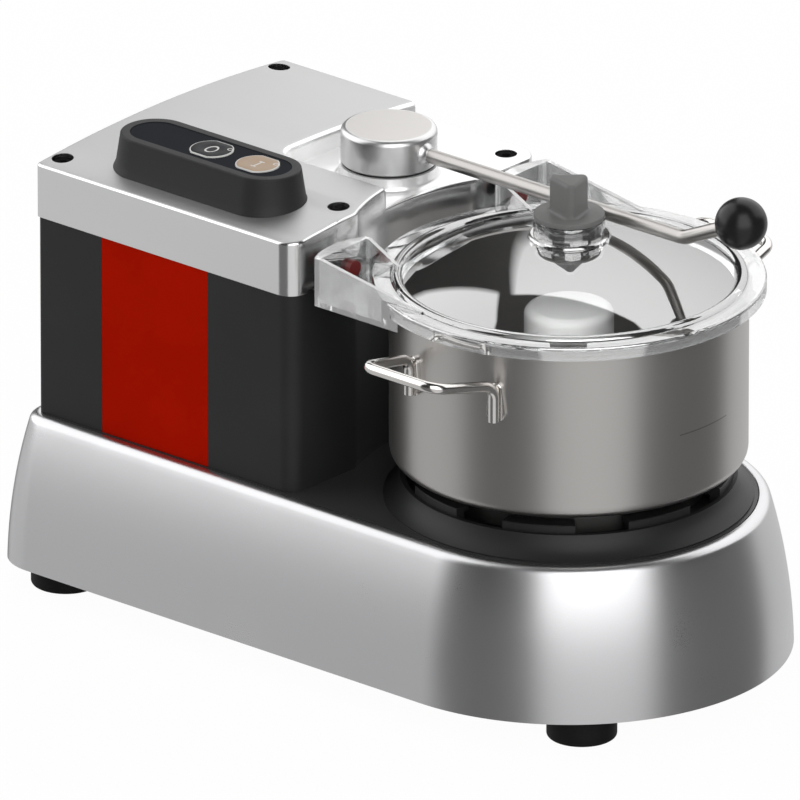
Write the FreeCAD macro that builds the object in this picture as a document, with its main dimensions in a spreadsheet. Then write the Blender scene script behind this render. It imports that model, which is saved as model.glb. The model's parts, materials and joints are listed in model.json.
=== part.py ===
import FreeCAD, Part

# A table-top food cutter mixer: a cast base on four feet, a tall drive housing with a crowned
# cover and a control pod, and a round bowl under a clear lid that a swinging lever locks.
# Millimetres, +Z up, +X towards the bowl, -Y the front. The origin lies on the table under the
# middle of the machine. Sizes that are said to run from the bowl count from the bowl's axis.

import math
import operator
import os

import Sketcher
from FreeCAD import Placement, Rotation, Vector

os.makedirs("parts", exist_ok=True)
doc = FreeCAD.newDocument("food_cutter_mixer")
sheet = doc.addObject("Spreadsheet::Sheet", "Sizes")

SIGNS = {"+": operator.add, "-": operator.sub, "*": operator.mul, "/": operator.truediv}


class Size:
    """A number that carries its formula in the sheet, so that what is worked out stays bound."""

    def __init__(self, value, formula):
        self.value = value
        self.formula = formula

    def __float__(self):
        return float(self.value)

    def __add__(self, other):
        return joined(self, "+", other)

    def __radd__(self, other):
        return joined(other, "+", self)

    def __sub__(self, other):
        return joined(self, "-", other)

    def __rsub__(self, other):
        return joined(other, "-", self)

    def __mul__(self, other):
        return joined(self, "*", other)

    def __rmul__(self, other):
        return joined(other, "*", self)

    def __truediv__(self, other):
        return joined(self, "/", other)

    def __neg__(self):
        return joined(0, "-", self)


def as_size(item):
    """Give a plain number a formula of its own."""
    return item if isinstance(item, Size) else Size(item, "%.9g" % item)


def joined(left, sign, right):
    """Join two sizes with a sign, both as numbers and as formulas."""
    left, right = as_size(left), as_size(right)
    number = SIGNS[sign](left.value, right.value)
    return Size(number, "(%s %s %s)" % (left.formula, sign, right.formula))


def root(item):
    """Square root of a size."""
    return Size(math.sqrt(item.value), "sqrt(%s)" % item.formula)


def slope(run, rise):
    """The angle, in degrees, of a line that goes run along while it rises."""
    turn = math.degrees(math.atan(float(run) / float(rise)))
    return Size(turn, "(atan(%s / %s) / 1deg)" % (as_size(run).formula, as_size(rise).formula))


def size(name, number, note):
    """Write one driving dimension into the sheet."""
    row = size.row = size.row + 1
    sheet.set("A%d" % row, note)
    sheet.set("B%d" % row, str(number))
    sheet.setAlias("B%d" % row, name)
    return Size(number, "Sizes." + name)


size.row = 0

# Fits
fit_gap = size("fit_gap", 0.3, "gap round a piece that drops into its seat")
move_gap = size("move_gap", 0.3, "gap between a moving piece and what it rests on")
run_gap = size("run_gap", 0.05, "radial gap of a shaft in its bearing")

# Cast base
casting_length = size("casting_length", 539, "cast base, over all, along X")
casting_half = size("casting_half", 151, "cast base, half its width and radius of its round end")
casting_corner = size("casting_corner", 36, "cast base, corner radius at the drive end")
foot_height = size("foot_height", 20, "rubber foot, height")
casting_height = size("casting_height", 105, "cast base, height above the feet")
flare_radius = size("flare_radius", 397, "cast base, radius of its bulging side")
flare_drop = size("flare_drop", 10, "cast base, widest level of its side below its foot")
casting_edge = size("casting_edge", 7, "cast base, radius of its top edge")
casting_wall = size("casting_wall", 5, "cast base, wall")
lip_inset = size("lip_inset", 24, "deck opening, inside the foot of the wall")
ledge_width = size("ledge_width", 8, "ledge that the deck lies on")
ledge_thickness = size("ledge_thickness", 5, "ledge, thickness")
deck_thickness = size("deck_thickness", 3, "deck plate")
floor_thickness = size("floor_thickness", 2.5, "bottom plate")
foot_radius = size("foot_radius", 23.7, "rubber foot")
foot_bowl_reach = size("foot_bowl_reach", 85, "bowl-end feet from the bowl, along X and Y")
foot_far_inset = size("foot_far_inset", 38, "drive-end feet, inside the far end of the base")
foot_side_inset = size("foot_side_inset", 39, "drive-end feet, inside the base's sides")
foot_edge = size("foot_edge", 1.5, "rubber foot, bevel of its lower edge")
foot_screw_set = size("foot_screw_set", 4, "foot screw, height of its head")
foot_nut_height = size("foot_nut_height", 5, "foot screw, height of its nut")
foot_screw = size("foot_screw", 3, "foot screw, radius")
foot_screw_head = size("foot_screw_head", 6, "foot screw, head radius")
foot_counterbore = size("foot_counterbore", 8, "foot, radius of the hollow for the screw head")

# Drive housing and its cover
cover_near = size("cover_near", 134.5, "cover, end face from the bowl")
cover_far = size("cover_far", 363.5, "cover, far end from the bowl")
cover_half = size("cover_half", 126, "cover, half width")
cover_side = size("cover_side", 38, "cover, height of its side")
cover_wall = size("cover_wall", 4, "cover, wall and roof")
crown_radius = size("crown_radius", 1224, "cover, radius of its crowned top")
cover_bevel = size("cover_bevel", 2.5, "cover, rounding of its upper edges")
cove_radius = size("cove_radius", 148, "hollow in the end face, round the bowl")
near_corner = size("near_corner", 13, "upright corners at the bowl end")
far_corner = size("far_corner", 4, "upright corners at the far end")
step_drop = size("step_drop", 8.5, "lower level of the cover, below its side edge")
step_far = size("step_far", 243.5, "lower level, how far from the bowl it starts")
step_front = size("step_front", 15.5, "lower level, its front wall before the middle plane")
step_corner = size("step_corner", 14, "lower level, inner corner radius")
step_round = size("step_round", 4.5, "lower level, rounding at the top of its wall")
housing_height = size("housing_height", 141.5, "black housing, height")
housing_inset = size("housing_inset", 1, "black housing, inside the cover's outline")
housing_wall = size("housing_wall", 3, "black housing, wall")
panel_left = size("panel_left", 305.5, "red panel, left edge from the bowl")
panel_width = size("panel_width", 95, "red panel, width")
panel_thickness = size("panel_thickness", 1.5, "red panel")
tie_hole = size("tie_hole", 7.5, "well of a tie bolt in the cover, radius")
tie_depth = size("tie_depth", 9, "well of a tie bolt, depth below the side edge")
tie_head_height = size("tie_head_height", 8, "tie bolt, head height")
tie_head_edge = size("tie_head_edge", 0.6, "tie bolt, bevel of its head")
tie_bolt = size("tie_bolt", 3, "tie bolt, shank radius")
tie_boss = size("tie_boss", 11, "boss round a near tie bolt under the cover")
tie_boss_far = size("tie_boss_far", 8, "boss round a far tie bolt under the cover")
tie_far = size("tie_far", 353, "far tie bolts from the bowl")
tie_side = size("tie_side", 110, "tie bolts from the middle plane")
tie_near = size("tie_near", 150.5, "near tie bolts from the bowl")
tie_near_front = size("tie_near_front", 61, "near front tie bolt from the middle plane")

# Control pod
pod_left = size("pod_left", 295, "pod, centre of its left end from the bowl")
pod_right = size("pod_right", 197.5, "pod, centre of its right end from the bowl")
pod_side = size("pod_side", 81, "pod, from the middle plane")
pod_foot = size("pod_foot", 30, "pod, radius at the foot of its skirt")
pod_waist = size("pod_waist", 27, "pod, radius above the skirt")
pod_crown = size("pod_crown", 24, "pod, radius at its top")
pod_skirt = size("pod_skirt", 7, "pod, height of the skirt above the cover's side edge")
pod_height = size("pod_height", 27.2, "pod, height above the cover's side edge")
pod_wall = size("pod_wall", 3, "pod, wall")
pod_edge = size("pod_edge", 1.2, "pod, rounding of its top edge")
glass_sink = size("glass_sink", 0.3, "pod glass, below the pod's top")
glass_radius = size("glass_radius", 17.3, "pod glass, end radius")
glass_thickness = size("glass_thickness", 2, "pod glass")
button_radius = size("button_radius", 15, "button")
button_flat = size("button_flat", 13.4, "button, from its middle to its flats")
button_height = size("button_height", 3.4, "button")
button_proud = size("button_proud", 0.8, "button, above the glass")
button_travel = size("button_travel", 1.5, "button, travel")
button_pitch = size("button_pitch", 40.7, "between the two buttons")
start_reach = size("start_reach", 204.7, "start button from the bowl")
board_thickness = size("board_thickness", 1.6, "control board")
switch_radius = size("switch_radius", 4, "switch under a button")
switch_height = size("switch_height", 4.4, "switch under a button")
post_radius = size("post_radius", 2, "post that carries the control board")

# Lid lever
lever_reach = size("lever_reach", 185, "lever pivot from the bowl")
lever_side = size("lever_side", 30, "lever pivot behind the middle plane")
boss_radius = size("boss_radius", 33.5, "boss under the lever hub")
boss_height = size("boss_height", 9.5, "boss, above the lower level")
boss_foot = size("boss_foot", 4, "boss, rounding at its foot")
hub_radius = size("hub_radius", 32.6, "lever hub")
hub_height = size("hub_height", 24.5, "lever hub")
hub_edge = size("hub_edge", 4, "lever hub, rounding of its top")
washer_thickness = size("washer_thickness", 1.2, "washer under the hub")
rod_rise = size("rod_rise", 12, "lever rod, above the hub's lower face")
rod_radius = size("rod_radius", 5, "lever rod")
rod_root = size("rod_root", 18, "lever rod, from the pivot to its inner end")
rod_bend_reach = size("rod_bend_reach", 75, "lever rod, bend beyond the bowl's axis")
rod_bend_radius = size("rod_bend_radius", 18, "lever rod, radius of the bend")
ball_run = size("ball_run", 49.5, "ball from the bend, along X")
ball_rise = size("ball_rise", 23, "ball above the rod")
ball_radius = size("ball_radius", 17.6, "ball knob")
ball_depth = size("ball_depth", 12, "rod end inside the ball")
pivot_radius = size("pivot_radius", 7, "lever spindle")
pivot_length = size("pivot_length", 34, "lever spindle, below the hub's lower face")
pivot_socket = size("pivot_socket", 9, "lever spindle inside the hub")
bush_wall = size("bush_wall", 3, "bush round the lever spindle")
cam_radius = size("cam_radius", 16, "cam on the lever spindle")
cam_height = size("cam_height", 6, "cam on the lever spindle")
lock_switch_width = size("lock_switch_width", 28, "lock switch, along X")
lock_switch_depth = size("lock_switch_depth", 14, "lock switch, along Y")

# Bowl
bowl_lift = size("bowl_lift", 28.3, "bowl floor above the deck")
bowl_radius = size("bowl_radius", 120, "bowl")
bowl_height = size("bowl_height", 121.7, "bowl")
bowl_wall = size("bowl_wall", 1.5, "bowl, wall")
bowl_edge = size("bowl_edge", 9, "bowl, rounding of its lower edge")
rim_width = size("rim_width", 3, "bowl, rolled rim")
tube_radius = size("tube_radius", 16.5, "bowl, middle tube")
tube_wall = size("tube_wall", 2, "bowl, wall of the middle tube")
tube_height = size("tube_height", 68, "bowl, middle tube above the floor")
handle_wire = size("handle_wire", 3.75, "bowl handle, wire radius")
handle_drop = size("handle_drop", 27, "bowl handle, attachment below the rim")
handle_tail = size("handle_tail", 25, "bowl handle, tail along the wall")
handle_half = size("handle_half", 37, "bowl handle, half its spread at the wall")
handle_bar_half = size("handle_bar_half", 31, "bowl handle, half its bar")
handle_reach = size("handle_reach", 172.5, "bowl handle, bar from the bowl's axis")
handle_rise = size("handle_rise", 12.5, "bowl handle, bar above the attachment")
handle_bend = size("handle_bend", 11, "bowl handle, bend radius")
tab_thickness = size("tab_thickness", 1.5, "bowl handle, weld tab")
tab_width = size("tab_width", 13.5, "bowl handle, weld tab")
tab_tall = size("tab_tall", 27.5, "bowl handle, weld tab")
tab_overhang = size("tab_overhang", 1.5, "bowl handle, weld tab below the wire's end")
weld_gap = size("weld_gap", 0.05, "weld seam between the bowl and a tab")

# Bowl seat and bayonet
seat_radius = size("seat_radius", 124, "bowl seat, foot of its ring")
seat_crest = size("seat_crest", 113, "bowl seat, crest of its ring")
seat_height = size("seat_height", 15.5, "bowl seat, height of its ring")
seat_cove = size("seat_cove", 24, "bowl seat, radius of the hollow outer face")
seat_rim = size("seat_rim", 4, "bowl seat, width of the crest")
seat_floor = size("seat_floor", 9, "bowl seat, thickness of its floor")
seat_hole = size("seat_hole", 32, "bowl seat, middle hole")
lug_count = 8
lug_out = size("lug_out", 108.8, "bayonet lug, outer radius")
lug_in = size("lug_in", 98, "bayonet lug, inner radius of its overhang")
lug_web = size("lug_web", 102.5, "bayonet lug, inner radius of its web")
lug_top = size("lug_top", 21, "bayonet lug, top above the deck")
lug_plate = size("lug_plate", 4, "bayonet lug, thickness of its overhang")
lug_angle = size("lug_angle", 26, "bayonet lug, degrees")
lug_first = size("lug_first", -60, "first bayonet lug, degrees from +X")
collar_radius = size("collar_radius", 95, "bayonet collar under the bowl")
collar_wall = size("collar_wall", 3, "bayonet collar, wall")
tab_reach = size("tab_reach", 101.5, "bayonet tab, outer radius")
tab_angle = size("tab_angle", 15, "bayonet tab, degrees")
tab_height = size("tab_height", 4, "bayonet tab, height")

# Lid
lid_radius = size("lid_radius", 131.7, "lid")
lid_wall = size("lid_wall", 4, "lid, wall")
lip_height = size("lip_height", 9.3, "lid, height of its lip")
lip_chamfer = size("lip_chamfer", 1.5, "lid, rounding of the lip")
lip_rib = size("lip_rib", 0.5, "lid, how far the ribs on its lip stand out")
lip_rib_angle = size("lip_rib_angle", 1.8, "lid, angle that a rib on its lip takes")
lip_rib_left = size("lip_rib_left", -93, "lid, place of the left rib round the bowl's axis")
lip_rib_right = size("lip_rib_right", -75, "lid, place of the right rib round the bowl's axis")
bead_out = size("bead_out", 119.5, "lid, outer foot of its bead")
bead_in = size("bead_in", 111.5, "lid, foot of the dome")
bead_height = size("bead_height", 2.5, "lid, bead")
dome_radius = size("dome_radius", 229, "lid, radius of the dome")
rib_radius = size("rib_radius", 114, "lid, outer radius of the rib inside the bowl")
rib_drop = size("rib_drop", 6, "lid, depth of the rib inside the bowl")
seal_height = size("seal_height", 2.7, "lid seal, height")
seal_width = size("seal_width", 5.5, "lid seal, width")
collar_corner = size("collar_corner", 24, "feed collar, corner radius of its twelve sides")
collar_bore = size("collar_bore", 20, "feed collar, bore")
collar_above = size("collar_above", 11.3, "feed collar, above the dome")
collar_below = size("collar_below", 13, "feed collar, below the dome")
collar_ring = size("collar_ring", 2.5, "feed collar, section of the ring at its foot")
collar_ring_reach = size("collar_ring_reach", 25.5, "feed collar, radius of the ring at its foot")
ear_far = size("ear_far", 122, "lid ear, outer wall from the bowl's axis")
ear_out = size("ear_out", 118, "lid ear, outer side from the middle plane")
ear_in = size("ear_in", 66, "lid ear, inner side from the middle plane")
ear_top = size("ear_top", 15, "lid ear, above the lid's ring")
ear_bottom = size("ear_bottom", 19, "lid ear, below the lid's ring")
ear_wall = size("ear_wall", 3, "lid ear, wall")
ear_pad = size("ear_pad", 7, "lid ear, bulge of its outer wall")
ear_end = size("ear_end", 28, "lid ear, where its sides meet the ring, from the bowl's axis")
magnet_radius = size("magnet_radius", 6, "magnet in a lid ear")
magnet_height = size("magnet_height", 4, "magnet in a lid ear")
magnet_shift = size("magnet_shift", 7, "magnet, nearer the middle plane than its ear's middle")
reed_depth = size("reed_depth", 8, "reed switch, along X")
reed_width = size("reed_width", 20, "reed switch, along Y")
reed_height = size("reed_height", 12, "reed switch, height")

# Feed plug
knob_reach = size("knob_reach", 10, "plug, centre of a rounded corner from the axis")
knob_corner = size("knob_corner", 4, "plug, radius of a rounded corner")
knob_height = size("knob_height", 24, "plug, knob above the flange")
knob_edge = size("knob_edge", 2, "plug, rounding of its top")
plug_flange = size("plug_flange", 23.8, "plug, flange radius")
plug_flange_height = size("plug_flange_height", 4, "plug, flange")
plug_depth = size("plug_depth", 36, "plug, below the flange")
plug_stem = size("plug_stem", 17, "plug, radius of its hollow stem")
plug_stem_depth = size("plug_stem_depth", 24, "plug, stem below the flange")

# Knives
floor_gap = size("floor_gap", 4, "knife stack above the bowl's floor")
hub_nut_height = size("hub_nut_height", 5, "knife nut")
blade_thickness = size("blade_thickness", 2.5, "knife")
spacer_height = size("spacer_height", 26, "spacer between the knives")
sleeve_radius = size("sleeve_radius", 23, "knife hub, sleeve")
spacer_radius = size("spacer_radius", 28, "spacer and knife ring")
head_radius = size("head_radius", 30, "knife hub, head")
head_height = size("head_height", 65, "knife hub, head")
head_edge = size("head_edge", 6, "knife hub, rounding of its top")
hub_bore = size("hub_bore", 18, "knife hub, bore over the middle tube")
dimple_radius = size("dimple_radius", 4, "knife hub, dimple in its side")
dimple_depth = size("dimple_depth", 3, "knife hub, depth of the dimple")
blade_reach = size("blade_reach", 112, "knife, tip from the axis")
blade_back = size("blade_back", 96, "knife, radius of its bulging back")
blade_edge = size("blade_edge", 62, "knife, radius of its hollow cutting edge")
blade_lean = size("blade_lean", 42, "knife, offset of its tip")

# Drive
shaft_radius = size("shaft_radius", 12.5, "main shaft in its bearings")
shaft_top_radius = size("shaft_top_radius", 10, "main shaft in the knife hub")
shaft_top = size("shaft_top", 14, "main shaft inside the knife hub's head")
bearing_radius = size("bearing_radius", 26, "main bearing")
bearing_height = size("bearing_height", 15, "main bearing")
spindle_wall = size("spindle_wall", 4, "spindle housing, wall")
spindle_flange = size("spindle_flange", 52, "spindle housing, flange radius")
spindle_flange_height = size("spindle_flange_height", 6, "spindle housing, flange")
spindle_length = size("spindle_length", 52, "spindle housing, below the deck")
spindle_neck = size("spindle_neck", 10, "spindle housing, neck above the deck")
seal_radius = size("seal_radius", 20, "shaft seal")
belt_level = size("belt_level", 54, "middle of the belt above the table")
belt_width = size("belt_width", 16, "belt")
belt_thickness = size("belt_thickness", 4, "belt")
pulley_width = size("pulley_width", 18, "pulleys")
pulley_flange = size("pulley_flange", 2.5, "pulley flange beyond the belt's back")
driven_radius = size("driven_radius", 45, "driven pulley")
driver_radius = size("driver_radius", 25, "motor pulley")
motor_reach = size("motor_reach", 250, "motor axis from the bowl")
motor_radius = size("motor_radius", 66, "motor")
motor_core = size("motor_core", 42, "motor, bore of the stator")
air_gap = size("air_gap", 0.6, "motor, gap round the rotor")
motor_stack = size("motor_stack", 84, "motor, stator height")
shield_height = size("shield_height", 16, "motor, end shield")
plate_thickness = size("plate_thickness", 6, "motor mounting plate")
motor_shaft = size("motor_shaft", 8, "motor shaft")
winding_height = size("winding_height", 9, "motor winding beyond the stator")
winding_gap = size("winding_gap", 3, "motor winding inside the stator's edges")
shield_wall = size("shield_wall", 5, "motor, wall of an end shield")
motor_bearing_radius = size("motor_bearing_radius", 17.5, "motor bearing")
motor_bearing_height = size("motor_bearing_height", 11, "motor bearing")
fan_radius = size("fan_radius", 55, "motor fan")
fan_height = size("fan_height", 12, "motor fan")
fan_blades = 9
capacitor_radius = size("capacitor_radius", 17, "motor capacitor")
capacitor_height = size("capacitor_height", 70, "motor capacitor")
capacitor_side = size("capacitor_side", 96, "motor capacitor from the middle plane")
capacitor_post = size("capacitor_post", 5, "motor capacitor, its terminal")

# Cable gland, low on the back
gland_reach = size("gland_reach", 300, "gland from the bowl")
gland_level = size("gland_level", 62, "gland above the table")
gland_bore = size("gland_bore", 4, "gland, bore for the lead")
gland_thread = size("gland_thread", 8, "gland, thread radius")
gland_hex = size("gland_hex", 12, "gland, corner radius of its hexagon")
gland_hex_height = size("gland_hex_height", 7, "gland, hexagon")
gland_cap_height = size("gland_cap_height", 14, "gland, domed cap")
gland_face = size("gland_face", 147, "gland, spot face from the middle plane")
gland_wall = size("gland_wall", 3, "cast base, wall between the gland's two spot faces")
gland_nut_height = size("gland_nut_height", 5, "gland, nut")
gland_tail = size("gland_tail", 11, "gland, thread inside the wall")

# Places that follow from the sizes
left_end = casting_length / -2
bowl_x = casting_length / 2 - casting_half
deck_top = foot_height + casting_height
deck_bottom = deck_top - deck_thickness
cover_bottom = deck_top + housing_height
cover_edge = cover_bottom + cover_side
step_level = cover_edge - step_drop
crown_top = cover_edge + crown_radius - root(crown_radius * crown_radius - cover_half * cover_half)
bowl_bottom = deck_top + bowl_lift
bowl_top = bowl_bottom + bowl_height
ring_bottom = bowl_top + move_gap + seal_height
ring_top = ring_bottom + lid_wall
dome_level = ring_top - root(dome_radius * dome_radius - bead_in * bead_in)
dome_top = dome_level + dome_radius
collar_top = dome_top + collar_above
flange_bottom = collar_top + move_gap
lever_x = bowl_x - lever_reach
hub_bottom = step_level + boss_height + washer_thickness + move_gap
rod_level = hub_bottom + rod_rise
motor_x = bowl_x - motor_reach
pod_y = -pod_side
pod_top = cover_edge + pod_height
glass_top = pod_top - glass_sink
seat_level = deck_top + seat_floor
knife_level = bowl_bottom + bowl_wall + floor_gap

nodes = {}


def bind(thing, path, item):
    """Bind one property of a thing to a size."""
    thing.setExpression(path, as_size(item).formula)


def put(thing, x=0, y=0, z=0):
    """Bind where a thing lies."""
    for letter, item in (("x", x), ("y", y), ("z", z)):
        bind(thing, "Placement.Base." + letter, item)
    return thing


def node(name, thing):
    """Name the finished thing as one piece of the machine."""
    thing.Label = name
    nodes[name] = thing
    return thing


def new_body(name):
    return doc.addObject("PartDesign::Body", name + "_body")


def sketch_on(body, plane, name, offset=0):
    """A sketch on one of the body's own origin planes, moved along its normal."""
    sketch = body.newObject("Sketcher::SketchObject", name)
    flat = next(item for item in body.Origin.OriginFeatures if item.Role == plane)
    sketch.AttachmentSupport = [(flat, "")]
    sketch.MapMode = "FlatFace"
    bind(sketch, "AttachmentOffset.Base.z", offset)
    return sketch


def pin_value(sketch, kind, geometry, position, item, name):
    """Hold one coordinate of a sketch point at a size, or on the axis where it is nought."""
    if float(item) == 0:
        axis = -2 if kind == "DistanceX" else -1
        sketch.addConstraint(Sketcher.Constraint("PointOnObject", geometry, position, axis))
        return
    rule = Sketcher.Constraint(kind, -1, 1, geometry, position, float(item))
    sketch.renameConstraint(sketch.addConstraint(rule), name)
    bind(sketch, "Constraints." + name, item)


def arc_between(start, end, radius, turn):
    """The short arc from start to end: turn is 1 counter-clockwise, -1 clockwise."""
    chord = end - start
    left = Vector(-chord.y, chord.x, 0).normalize()
    reach = math.sqrt(max(radius ** 2 - chord.Length ** 2 / 4, 0))
    centre = (start + end) * 0.5 + left * (turn * reach)
    first, last = (start, end) if turn > 0 else (end, start)
    angle = math.atan2(first.y - centre.y, first.x - centre.x)
    stop = math.atan2(last.y - centre.y, last.x - centre.x)
    if stop < angle:
        stop += 2 * math.pi
    return Part.ArcOfCircle(Part.Circle(centre, Vector(0, 0, 1), radius), angle, stop)


def draw(sketch, points, closed=True):
    """Draw an outline. A point is (u, v), or (u, v, radius, turn) where an arc arrives at it."""
    base = sketch.GeometryCount
    ends = []
    steps = list(range(len(points))) if closed else list(range(1, len(points)))
    for i in steps:
        point, before = points[i], points[i - 1]
        start = Vector(float(before[0]), float(before[1]), 0)
        end = Vector(float(point[0]), float(point[1]), 0)
        if len(point) == 2:
            sketch.addGeometry(Part.LineSegment(start, end))
            ends.append((1, 2))
        else:
            sketch.addGeometry(arc_between(start, end, float(point[2]), point[3]))
            ends.append((1, 2) if point[3] > 0 else (2, 1))
    for order, i in enumerate(steps):
        geometry = base + order
        point, before = points[i], points[i - 1]
        tag = str(geometry)
        if closed or order + 1 < len(steps):
            following = (order + 1) % len(steps)
            link = Sketcher.Constraint("Coincident", geometry, ends[order][1],
                                       base + following, ends[following][0])
            sketch.addConstraint(link)
        if not closed and order == 0:
            pin_value(sketch, "DistanceX", geometry, ends[0][0], before[0], "first_x")
            pin_value(sketch, "DistanceY", geometry, ends[0][0], before[1], "first_y")
        pin_value(sketch, "DistanceX", geometry, ends[order][1], point[0], "x" + tag)
        pin_value(sketch, "DistanceY", geometry, ends[order][1], point[1], "y" + tag)
        if len(point) == 4:
            hold_arc(sketch, geometry, before, point, tag)


def hold_arc(sketch, geometry, before, point, tag):
    """Hold an arc by its radius, or a half circle by its middle."""
    across = float(point[0]) - float(before[0])
    up = float(point[1]) - float(before[1])
    if math.hypot(across, up) / 2 < 0.9999 * float(point[2]):
        rule = Sketcher.Constraint("Radius", geometry, float(point[2]))
        sketch.renameConstraint(sketch.addConstraint(rule), "r" + tag)
        bind(sketch, "Constraints.r" + tag, point[2])
    elif abs(across) < abs(up):
        pin_value(sketch, "DistanceX", geometry, 3, point[0], "c" + tag)
    else:
        pin_value(sketch, "DistanceY", geometry, 3, point[1], "c" + tag)


def circle(sketch, u, v, radius):
    """A whole circle in a sketch."""
    place = Vector(float(u), float(v), 0)
    geometry = sketch.addGeometry(Part.Circle(place, Vector(0, 0, 1), float(radius)))
    pin_value(sketch, "DistanceX", geometry, 3, u, "cx%d" % geometry)
    pin_value(sketch, "DistanceY", geometry, 3, v, "cy%d" % geometry)
    rule = Sketcher.Constraint("Radius", geometry, float(radius))
    sketch.renameConstraint(sketch.addConstraint(rule), "cr%d" % geometry)
    bind(sketch, "Constraints.cr%d" % geometry, radius)


def pad(body, name, outlines, bottom, height, plane="XY_Plane", taper=None):
    """Pad closed outlines up from a level."""
    sketch = sketch_on(body, plane, name + "_outline", bottom)
    for outline in outlines:
        draw(sketch, outline) if isinstance(outline, list) else circle(sketch, *outline)
    feature = body.newObject("PartDesign::Pad", name)
    feature.Profile = sketch
    bind(feature, "Length", height)
    if taper is not None:
        bind(feature, "TaperAngle", taper)
    return feature


def pocket(body, name, outlines, top, depth, plane="XY_Plane"):
    """Cut closed outlines down from a level."""
    sketch = sketch_on(body, plane, name + "_outline", top)
    for outline in outlines:
        draw(sketch, outline) if isinstance(outline, list) else circle(sketch, *outline)
    feature = body.newObject("PartDesign::Pocket", name)
    feature.Profile = sketch
    bind(feature, "Length", depth)
    return feature


def turn(body, name, outline, kind="PartDesign::Revolution", plane="XZ_Plane"):
    """Turn a half section about the upright axis, adding or (as a groove) cutting."""
    sketch = sketch_on(body, plane, name + "_section")
    draw(sketch, outline)
    feature = body.newObject(kind, name)
    feature.Profile = sketch
    feature.ReferenceAxis = (sketch, ["V_Axis"])
    feature.Angle = 360
    return feature


def turned(name, outline, x=0, y=0, z=0):
    """A piece that is one turned solid."""
    body = new_body(name)
    turn(body, name + "_turn", outline)
    return put(body, x, y, z)


def ring(inner, outer, bottom, top):
    """Half section of a plain ring."""
    return [(inner, bottom), (outer, bottom), (outer, top), (inner, top)]


def rod(name, radius, height, x=0, y=0, z=0, rotation=None):
    """A cylinder that stands up, unless a rotation lays it down."""
    thing = doc.addObject("Part::Cylinder", name)
    bind(thing, "Radius", radius)
    bind(thing, "Height", height)
    if rotation is not None:
        thing.Placement = Placement(Vector(), rotation)
    return put(thing, x, y, z)


def block(name, low, span):
    """A box from its low corner and its span."""
    thing = doc.addObject("Part::Box", name)
    for path, item in zip(("Length", "Width", "Height"), span):
        bind(thing, path, item)
    return put(thing, *low)


def prism(name, sides, radius, height, x=0, y=0, z=0, rotation=None):
    """A regular prism."""
    thing = doc.addObject("Part::Prism", name)
    thing.Polygon = sides
    bind(thing, "Circumradius", radius)
    bind(thing, "Height", height)
    if rotation is not None:
        thing.Placement = Placement(Vector(), rotation)
    return put(thing, x, y, z)


def fused(name, things):
    thing = doc.addObject("Part::MultiFuse", name)
    thing.Shapes = things
    return thing


def less(name, base, tools):
    """A thing with one or more others cut away."""
    thing = doc.addObject("Part::Cut", name)
    thing.Base = base
    thing.Tool = tools[0] if len(tools) == 1 else fused(name + "_tools", tools)
    return thing


def shared(name, first, second):
    """What two things have in common."""
    thing = doc.addObject("Part::Common", name)
    thing.Base = first
    thing.Tool = second
    return thing


def group(name, things):
    """Separate solids that share one node, such as screws."""
    thing = doc.addObject("Part::Compound", name)
    thing.Links = things
    return thing


def rounded(body, name, radius, wanted):
    """Round the edges of the body's last feature that the test wants."""
    doc.recompute()
    last = body.Tip
    edges = ["Edge%d" % (i + 1) for i, edge in enumerate(last.Shape.Edges) if wanted(edge)]
    feature = body.newObject("PartDesign::Fillet", name)
    feature.Base = (last, edges)
    bind(feature, "Radius", radius)
    return feature


def stadium(left, right, y, radius):
    """A slot outline along X with round ends."""
    return [(right, y - radius), (right, y + radius, radius, 1), (left, y + radius),
            (left, y - radius, radius, 1)]


def sector(inner, outer, middle, angle):
    """A piece of a ring round the origin, as an outline; the angles are sizes in degrees."""
    corners = []
    for radius, side in ((inner, -1), (outer, -1), (outer, 1), (inner, 1)):
        turn_to = middle + angle * (side / 2)
        radians = math.radians(float(turn_to))
        across = Size(math.cos(radians), "cos(%s * 1deg)" % turn_to.formula)
        along = Size(math.sin(radians), "sin(%s * 1deg)" % turn_to.formula)
        corners.append((radius * across, radius * along))
    return [corners[0] + (inner, -1), corners[1], corners[2] + (outer, 1), corners[3]]


RIGHT = Rotation(Vector(0, 1, 0), 90)
BACK = Rotation(Vector(1, 0, 0), -90)


# The cast base: one section swept round the outline of the foot of its wall.

def base_outline(inset):
    """The base's plan outline, moved inwards; it starts below the bowl and runs round it."""
    half = casting_half - inset
    far = left_end + inset
    corner = casting_corner - inset
    return [(bowl_x, -half), (bowl_x, half, half, 1), (far + corner, half),
            (far, half - corner, corner, 1), (far, corner - half), (far + corner, -half, corner, 1)]


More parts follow.
